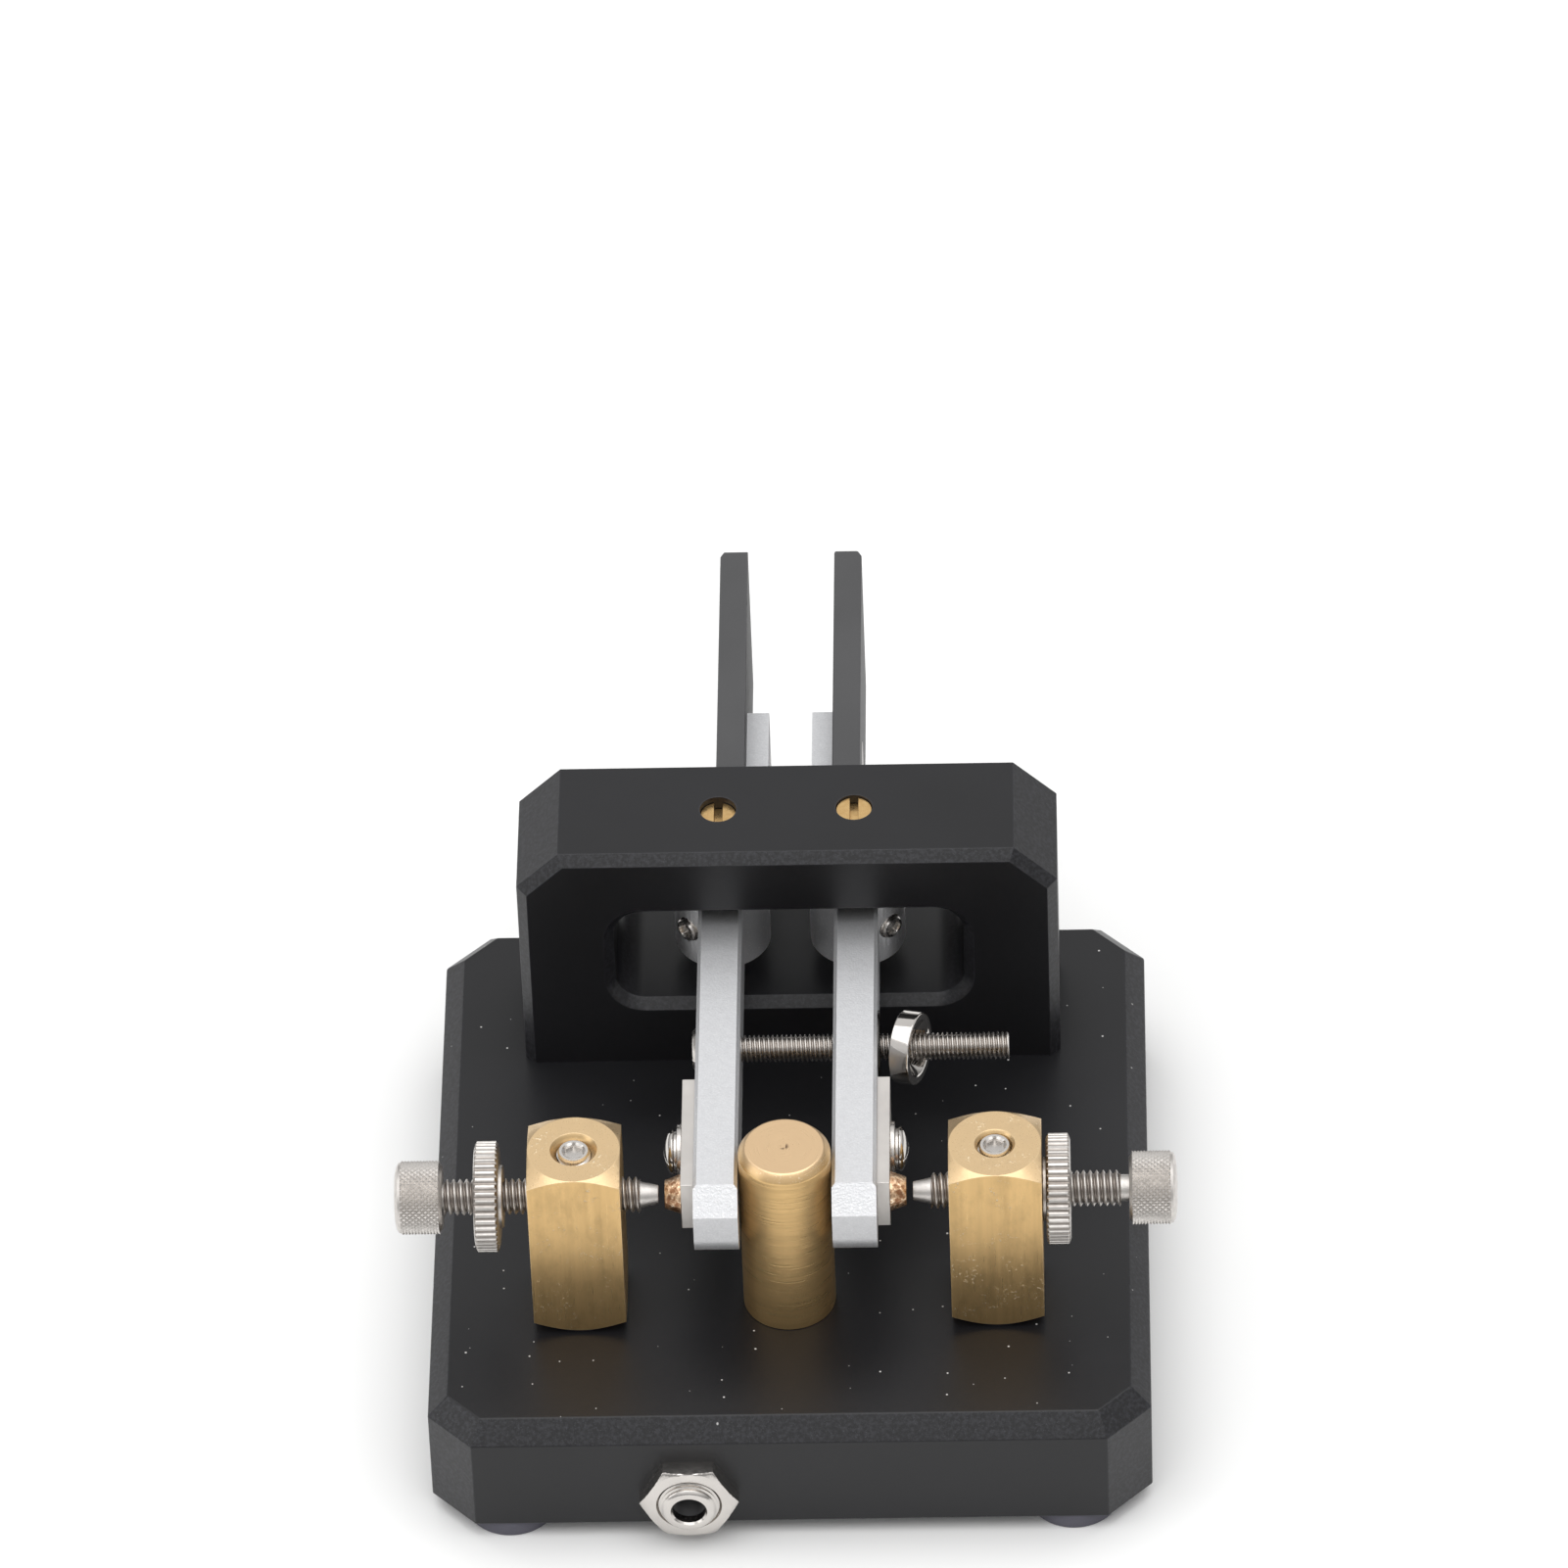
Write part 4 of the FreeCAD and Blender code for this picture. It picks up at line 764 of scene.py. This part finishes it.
# ---- pieces ----

class KEY_OT_base(bpy.types.Operator):
    """Base block with broken edges"""
    bl_idname = "morse_key.base"
    bl_label = "Base block"

    def execute(self, context):
        dressed("base_plate", black_anodising(dusty=True))
        return {"FINISHED"}


class KEY_OT_feet(bpy.types.Operator):
    """Four round rubber feet with a hollow underneath"""
    bl_idname = "morse_key.feet"
    bl_label = "Rubber feet"

    def execute(self, context):
        low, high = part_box("rubber_feet")
        tall = high.z - low.z
        rim = settings().sizes.foot_wide / 2
        bm = bmesh.new()
        outline = [(0.0, 0.0), (0.0, rim), (tall, rim), (tall, 0.42 * rim), (0.7 * tall, 0.36 * rim),
                   (0.7 * tall, 0.0)]
        for across in (low.x + rim, high.x - rim):
            for along in (low.y + rim, high.y - rim):
                foot = lathe(eased(outline, 0.3 * MM), 56)
                turn = Matrix.Rotation(math.pi / 2, 4, "Y")
                add_shell(bm, moved(foot, Matrix.Translation((across, along, high.z)) @ turn))
        rubber = moulded("foot_rubber", settings().colours.rubber, 0.62, 2600.0, 0.35)
        piece("rubber_feet_dressed", bm, "rubber_feet", rubber)
        return {"FINISHED"}


class KEY_OT_bridge(bpy.types.Operator):
    """Bridge frame and the screws that hold it and the pivots"""
    bl_idname = "morse_key.bridge"
    bl_label = "Bridge frame"

    def execute(self, context):
        fine = settings().sizes.fine_break
        dressed("pivot_frame", black_anodising(dusty=False))
        dressed("upper_pivot_screws", screw_brass(), fine)
        dressed("lower_pivot_screws", screw_brass(), fine)
        dressed("frame_screws", fixing_steel(), fine)
        return {"FINISHED"}


class KEY_OT_levers(bpy.types.Operator):
    """Both levers with their pivot shafts"""
    bl_idname = "morse_key.levers"
    bl_label = "Levers"

    def execute(self, context):
        for side, _ in SIDES:
            dressed(side + "_arm", blasted_aluminium())
            dressed(side + "_pivot_shaft", fixing_steel(), settings().sizes.fine_break)
        return {"FINISHED"}


class KEY_OT_plates(bpy.types.Operator):
    """Finger plates and the screws that hold them"""
    bl_idname = "morse_key.plates"
    bl_label = "Finger plates"

    def execute(self, context):
        plastic = moulded("plate_plastic", settings().colours.plate, 0.5, 3000.0, 0.25)
        for side, _ in SIDES:
            dressed(side + "_finger_plate", plastic, 1.6 * settings().sizes.edge_break)
            dressed(side + "_plate_screws", nickel("plate_screw_nickel", 0.34, bump=0.03),
                    settings().sizes.fine_break)
        return {"FINISHED"}


class KEY_OT_contacts(bpy.types.Operator):
    """Contact strips, rivets, washers and strip screws on the levers"""
    bl_idname = "morse_key.contacts"
    bl_label = "Lever contacts"

    def execute(self, context):
        fine = settings().sizes.fine_break
        for side, sign in SIDES:
            dressed(side + "_contact_strip", nickel("strip_nickel", 0.28, tint=1.12), 0.12 * MM)
            dressed(side + "_contact_rivet", contact_metal(), fine)
            dressed(side + "_strip_washer", screw_nickel(), fine)
            dressed(side + "_spring_washer", screw_nickel(), fine)
            self.dome(side, sign)
        return {"FINISHED"}

    def dome(self, side, sign):
        """A strip screw: plain shank under a domed, slotted head."""
        node = side + "_strip_screw"
        place, long, rim = along_x(node, sign)
        tall = 1.1 * MM
        seat = long - tall
        shank = 1.2 * MM
        outline = [(0.0, 0.0), (0.0, shank), (seat, shank), (seat, rim - 0.1 * MM), (seat + 0.1 * MM, rim)]
        for step in range(1, 11):
            angle = step / 10 * math.pi / 2
            outline.append((seat + 0.1 * MM + (tall - 0.1 * MM) * math.sin(angle), rim * math.cos(angle)))
        bm = slotted(lathe(outline, 56), 0.35 * MM, long - 0.6 * MM)
        piece(node + "_cut", moved(bm, place), node, nickel("dome_nickel", 0.09, smudge=0.06))


class KEY_OT_posts(bpy.types.Operator):
    """Square contact posts, the round post and what fastens them"""
    bl_idname = "morse_key.posts"
    bl_label = "Posts"

    def execute(self, context):
        sizes = settings().sizes
        for side, _ in SIDES:
            dressed(side + "_contact_post", post_brass(side))
        dressed("centre_post", turned_brass())
        insulator = moulded("insulator", (0.02, 0.02, 0.021), 0.45, 3000.0, 0.2)
        steel = fixing_steel()
        # the dark pads are insulators, and their dark edge under each square post also stands in for the
        # shade at its foot
        dressed("post_pads", insulator, sizes.fine_break)
        dressed("post_bushes", insulator, sizes.fine_break)
        for node in ("post_screws", "centre_post_screw", "solder_lugs", "jack_leads"):
            dressed(node, steel, sizes.fine_break)
        return {"FINISHED"}


class KEY_OT_grub_screws(bpy.types.Operator):
    """Threaded grub screws with hexagon sockets in the posts and the levers' bosses"""
    bl_idname = "morse_key.grub_screws"
    bl_label = "Grub screws"

    def execute(self, context):
        low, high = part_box("post_grub_screws")
        wide = high.y - low.y
        bm = bmesh.new()
        down = Matrix.Rotation(math.pi / 2, 4, "Y")
        for across in (low.x + wide / 2, high.x - wide / 2):
            place = Matrix.Translation((across, (low.y + high.y) / 2, high.z))
            add_shell(bm, moved(socket_screw(wide, high.z - low.z), place @ down))
        piece("post_grub_screws_cut", bm, "post_grub_screws", screw_nickel())
        for side, sign in SIDES:
            node = side + "_pivot_set_screw"
            low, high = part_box(node)
            wide = high.z - low.z
            long = (high.x - low.x) * math.sqrt(2) - wide
            inwards = Matrix.Rotation(math.atan2(1, -sign), 4, "Z")
            place = Matrix.Translation((low + high) / 2) @ inwards @ Matrix.Translation((-long / 2, 0, 0))
            piece(node + "_cut", moved(socket_screw(wide, long), place), node, screw_nickel())
        return {"FINISHED"}


def socket_screw(wide, long):
    """A grub screw along X: a hexagon socket at its start and a thread to its end."""
    pitch = settings().sizes.tension_pitch
    across = 0.55 * wide
    corner = across / math.sqrt(3)
    chamfer = 0.08 * wide
    top = [(1.2 * across, 0.0), (0.9 * across, corner), (0.05 * wide, corner), (0.0, corner * 1.08),
           (0.0, wide / 2 - chamfer), (chamfer, wide / 2 - 0.04 * wide),
           (2.2 * chamfer, wide / 2 - 0.10 * wide), (2.2 * chamfer, 0.0)]
    # the socket's wall is hexagonal, and its mouth is round
    cup = lathe(top, 72)
    limited(cup, six_sided(across), inside=corner * 1.02)
    return add_shell(cup, thread(wide, pitch, 1.6 * chamfer, long))


class KEY_OT_contact_screws(bpy.types.Operator):
    """Contact screws with cone tips, threads and knurled heads"""
    bl_idname = "morse_key.contact_screws"
    bl_label = "Contact screws"

    def execute(self, context):
        sizes = settings().sizes
        for side, sign in SIDES:
            node = side + "_contact_screw"
            place, long, rim = along_x(node, sign)
            wide = sizes.contact_wide
            # the left screw's thread runs up to its head
            thread_end = sizes.cone_long + sizes.thread_long + (0.75 * MM if sign < 0 else 0.0)
            tip = sizes.tip_wide / 2
            cone = lathe(eased([(0.0, 0.0), (0.0, tip), (sizes.cone_long, sizes.cone_wide / 2),
                                (sizes.cone_long + 0.3 * MM, wide / 2 - 0.3 * MM),
                                (sizes.cone_long + 0.3 * MM, 0.0)], 0.08 * MM), 56)
            bm = add_shell(cone, thread(wide, sizes.contact_pitch, sizes.cone_long, thread_end))
            head_start = sizes.cone_long + sizes.thread_long + 0.9 * MM
            neck = sizes.neck_wide / 2
            add_shell(bm, lathe([(thread_end - 0.4 * MM, 0.0), (thread_end - 0.4 * MM, neck),
                                 (head_start + 0.3 * MM, neck), (head_start + 0.3 * MM, 0.0)], 48))
            grip = rim - sizes.knurl_deep
            inner = head_start + 0.35 * MM
            outer = long - 0.75 * MM
            add_shell(bm, lathe(eased([(head_start, 0.0), (head_start, grip - 0.45 * MM),
                                       (inner, grip + 0.04 * MM), (inner + 0.1 * MM, 0.0)], 0.08 * MM), 72))
            add_shell(bm, lathe([(outer - 0.1 * MM, 0.0), (outer, grip + 0.1 * MM),
                                 (outer + 0.28 * MM, grip + 0.02 * MM), (outer + 0.5 * MM, grip - 0.3 * MM),
                                 (outer + 0.64 * MM, grip - 0.9 * MM), (long, 0.35 * grip), (long, 0.0)], 72))
            add_shell(bm, diamond_knurl(2 * rim, sizes.knurl_pitch, sizes.knurl_deep, inner, outer))
            bands = ((thread_root(wide, sizes.contact_pitch), wide / 2, 0.7),)
            finish = grooved_nickel("knurled_nickel", node, bands, 0.34)
            piece(node + "_cut", moved(bm, place), node, finish)
        return {"FINISHED"}


class KEY_OT_lock_rings(bpy.types.Operator):
    """Lock rings with straight ridges"""
    bl_idname = "morse_key.lock_rings"
    bl_label = "Lock rings"

    def execute(self, context):
        sizes = settings().sizes
        teeth = sizes.ring_teeth
        for side, sign in SIDES:
            node = side + "_lock_ring"
            place, long, rim = along_x(node, sign)
            bore = sizes.ring_bore / 2
            hub = sizes.ring_hub / 2
            face = 0.4 * MM
            outline = [(0.0, bore + 0.2 * MM), (0.0, hub - 0.1 * MM), (0.1 * MM, hub), (face, hub),
                       (face, rim - 0.75 * MM), (face + 0.12 * MM, rim - 0.3 * MM), (face + 0.3 * MM, rim),
                       (long - 0.3 * MM, rim), (long - 0.12 * MM, rim - 0.3 * MM), (long, rim - 0.75 * MM),
                       (long, bore + 0.2 * MM), (long - 0.2 * MM, bore), (0.2 * MM, bore)]
            bm = lathe(outline, 6 * teeth, closed=True)
            deep = sizes.ring_groove
            limited(bm, ridged(rim, deep, teeth))
            finish = grooved_nickel("ring_nickel", node, ((rim - deep, rim, 0.7),), 0.3)
            piece(node + "_cut", moved(bm, place), node, finish)
        return {"FINISHED"}


def ridged(rim, deep, teeth):
    """How far a straight knurl reaches at an angle: a flat ridge, then a sloping groove."""
    steps = (0.0, 0.12, 0.75, 1.0, 0.75, 0.12)

    def reach(angle):
        sixth = round(angle / math.tau * 6 * teeth) % 6
        return rim - steps[sixth] * deep
    return reach


class KEY_OT_tension(bpy.types.Operator):
    """Tension screw, the ring magnet that hangs on it and the lever's magnet"""
    bl_idname = "morse_key.tension"
    bl_label = "Magnetic return"

    def execute(self, context):
        sizes = settings().sizes
        low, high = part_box("tension_screw")
        wide = sizes.tension_wide
        head = (high.z - low.z) / 2
        place = Matrix.Translation((low.x, (low.y + high.y) / 2, (low.z + high.z) / 2))
        long = high.x - low.x
        seat = 1.6 * MM
        head_blank = lathe(eased([(0.0, 0.0), (0.0, head - 0.5 * MM), (0.5 * MM, head), (seat, head),
                                  (seat, 0.0)], 0.1 * MM), 56)
        outwards = Matrix.Translation((seat, 0, 0)) @ HALF_TURN
        bm = moved(slotted(moved(head_blank, outwards), 0.4 * MM, seat - 0.6 * MM), outwards)
        add_shell(bm, thread(wide, sizes.tension_pitch, seat - 0.1 * MM, long))
        piece("tension_screw_cut", moved(bm, place), "tension_screw",
              grooved_nickel("tension_nickel", "tension_screw",
                             ((thread_root(wide, sizes.tension_pitch), wide / 2, 0.5),), 0.22))
        dressed("tension_magnet", nickel("mirror_nickel", 0.07, smudge=0.05, bump=0.04), 0.15 * MM)
        dressed("arm_magnet", nickel("dark_nickel", 0.2, tint=0.09), 0.15 * MM)
        return {"FINISHED"}


class KEY_OT_plug_socket(bpy.types.Operator):
    """Plug socket with its nut, and the wiring underneath"""
    bl_idname = "morse_key.plug_socket"
    bl_label = "Plug socket"

    def execute(self, context):
        sizes = settings().sizes
        low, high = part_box("jack_nut")
        across = high.z - low.z
        hole = 3.3 * MM
        thick = high.y - low.y
        reach = across / 2 * 1.155
        outline = [(0.0, hole + 0.25 * MM), (0.0, across / 2 - 0.15 * MM)]
        flat = across / 2 - 0.15 * MM
        rise = reach - across / 2 + 0.2 * MM
        outline += [(0.42 * MM * share / 5, flat + rise * share / 5) for share in range(1, 6)]
        outline += [(thick, reach + 0.05 * MM), (thick, hole), (0.25 * MM, hole)]
        bm = lathe(outline, 96, closed=True)
        limited(bm, six_sided(across))
        inwards = Matrix.Rotation(math.pi / 2, 4, "Z")
        place = Matrix.Translation(((low.x + high.x) / 2, low.y, (low.z + high.z) / 2)) @ inwards
        piece("jack_nut_cut", moved(bm, place), "jack_nut", nickel("nut_nickel", 0.16))
        self.barrel()
        red = moulded("wire_red", (0.42, 0.02, 0.015), 0.35, 1200.0, 0.1)
        white = moulded("wire_white", (0.75, 0.74, 0.72), 0.35, 1200.0, 0.1, lift=1.05)
        dressed("left_wire", red, sizes.fine_break)
        dressed("right_wire", white, sizes.fine_break)
        return {"FINISHED"}

    def barrel(self):
        """The socket's threaded metal barrel, and its moulded housing with the bore's sleeve."""
        low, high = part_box("jack_socket")
        middle = Vector(((low.x + high.x) / 2, 0.0, (low.z + high.z) / 2))
        rim = 3.3 * MM
        bore = 1.8 * MM
        sleeve = 2.3 * MM
        lip = 1.2 * MM
        long = 6.5 * MM
        outline = [(0.22 * MM, bore), (0.0, bore + 0.18 * MM), (0.0, 2.55 * MM), (0.14 * MM, 2.78 * MM)]
        for turn in range(5):
            start = (0.2 + 0.38 * turn) * MM
            reach = min(rim, (2.95 + 0.2 * turn) * MM)
            outline += [(start + 0.16 * MM, reach), (start + 0.2 * MM, reach),
                        (start + 0.36 * MM, reach - 0.24 * MM)]
        outline += [(long, rim - 0.2 * MM), (long, sleeve), (lip, sleeve), (lip, bore)]
        inwards = Matrix.Translation((middle.x, low.y, middle.z)) @ Matrix.Rotation(math.pi / 2, 4, "Z")
        metal = moved(lathe(outline, 96, closed=True), inwards)
        piece("jack_barrel_cut", metal, "jack_socket", nickel("nut_nickel", 0.16))
        housing = packed_copy("jack_socket")
        for vert in housing.verts:
            away = Vector((vert.co.x, 0.0, vert.co.z)) - middle
            if vert.co.y < low.y + long + MERGE and sleeve < away.length < 3.5 * MM:
                away = away.normalized() * sleeve
                vert.co.x = middle.x + away.x
                vert.co.z = middle.z + away.z
            vert.co.y = max(vert.co.y, low.y + lip)
        black = moulded("housing_plastic", (0.018, 0.018, 0.02), 0.35, 3000.0, 0.2)
        piece("jack_housing_cut", housing, "jack_socket", black)


class KEY_OT_studio(bpy.types.Operator):
    """Floor, soft lights and the camera"""
    bl_idname = "morse_key.studio"
    bl_label = "Studio"

    def execute(self, context):
        studio = settings().studio
        bm = bmesh.new()
        bmesh.ops.create_grid(bm, x_segments=8, y_segments=8, size=3.0)
        bmesh.ops.translate(bm, vec=(0, 0, CAD_LOW.z), verts=bm.verts)
        mesh = bpy.data.meshes.new("floor")
        bm.to_mesh(mesh)
        bm.free()
        mesh.materials.append(floor_paint())
        floor = linked("floor", mesh)

        world = bpy.data.worlds.new("room")
        world.use_nodes = True
        context.scene.world = world
        room = Graph(world.node_tree)
        upward = room.split(room.add("TexCoord").outputs["Generated"])["Z"]
        sky = world.node_tree.nodes["Background"].inputs
        room.put(sky["Color"], (1.0, 1.0, 1.0))
        room.put(sky["Strength"], room.between(upward, 0.15, 0.55, studio.horizon, studio.sky))

        softbox("top_softbox", (0.0, -0.1, 0.95), 1.2, studio.top_light)
        softbox("left_softbox", (-0.8, -0.25, 0.35), 0.5, studio.side_light)

        lens = bpy.data.cameras.new("camera")
        lens.lens = studio.lens
        lens.clip_start = 0.01
        lens.clip_end = 20.0
        camera = linked("camera", lens)
        camera.matrix_world = (Matrix.Translation(studio.camera_place)
                               @ Matrix.Rotation(studio.camera_yaw, 4, "Z")
                               @ Matrix.Rotation(math.pi / 2 - studio.camera_pitch, 4, "X")
                               @ Matrix.Rotation(studio.camera_roll, 4, "Z"))
        context.scene.camera = camera
        context.scene.view_settings.view_transform = "Standard"
        return {"FINISHED"}


def softbox(name, place, size, power):
    """A square area light that looks at the key."""
    light = bpy.data.lights.new(name, "AREA")
    light.size = size
    light.energy = power
    made = linked(name, light)
    made.location = place
    aim = Vector((0.0, 0.0, 0.02)) - Vector(place)
    made.rotation_mode = "QUATERNION"
    made.rotation_quaternion = aim.to_track_quat("-Z", "Y")


# ---- panel and registration ----

OPERATORS = (KEY_OT_base, KEY_OT_feet, KEY_OT_bridge, KEY_OT_levers, KEY_OT_plates, KEY_OT_contacts,
             KEY_OT_posts, KEY_OT_grub_screws, KEY_OT_contact_screws, KEY_OT_lock_rings, KEY_OT_tension,
             KEY_OT_plug_socket, KEY_OT_studio)


class KEY_PT_sidebar(bpy.types.Panel):
    """Lists the pieces of the morse key"""
    bl_idname = "KEY_PT_sidebar"
    bl_label = "Morse key"
    bl_space_type = "VIEW_3D"
    bl_region_type = "UI"
    bl_category = "Morse key"

    def draw(self, context):
        for operator in OPERATORS:
            self.layout.operator(operator.bl_idname)


CLASSES = (KeySizes, KeyColours, KeyStudio, KeySettings, *OPERATORS, KEY_PT_sidebar)


def register():
    for each in CLASSES:
        bpy.utils.register_class(each)
    bpy.types.Scene.morse_key = PointerProperty(type=KeySettings)


def unregister():
    del bpy.types.Scene.morse_key
    for each in reversed(CLASSES):
        bpy.utils.unregister_class(each)


def main():
    register()
    for operator in OPERATORS:
        group, call = operator.bl_idname.split(".")
        getattr(getattr(bpy.ops, group), call)()


if __name__ == "__main__":
    main()
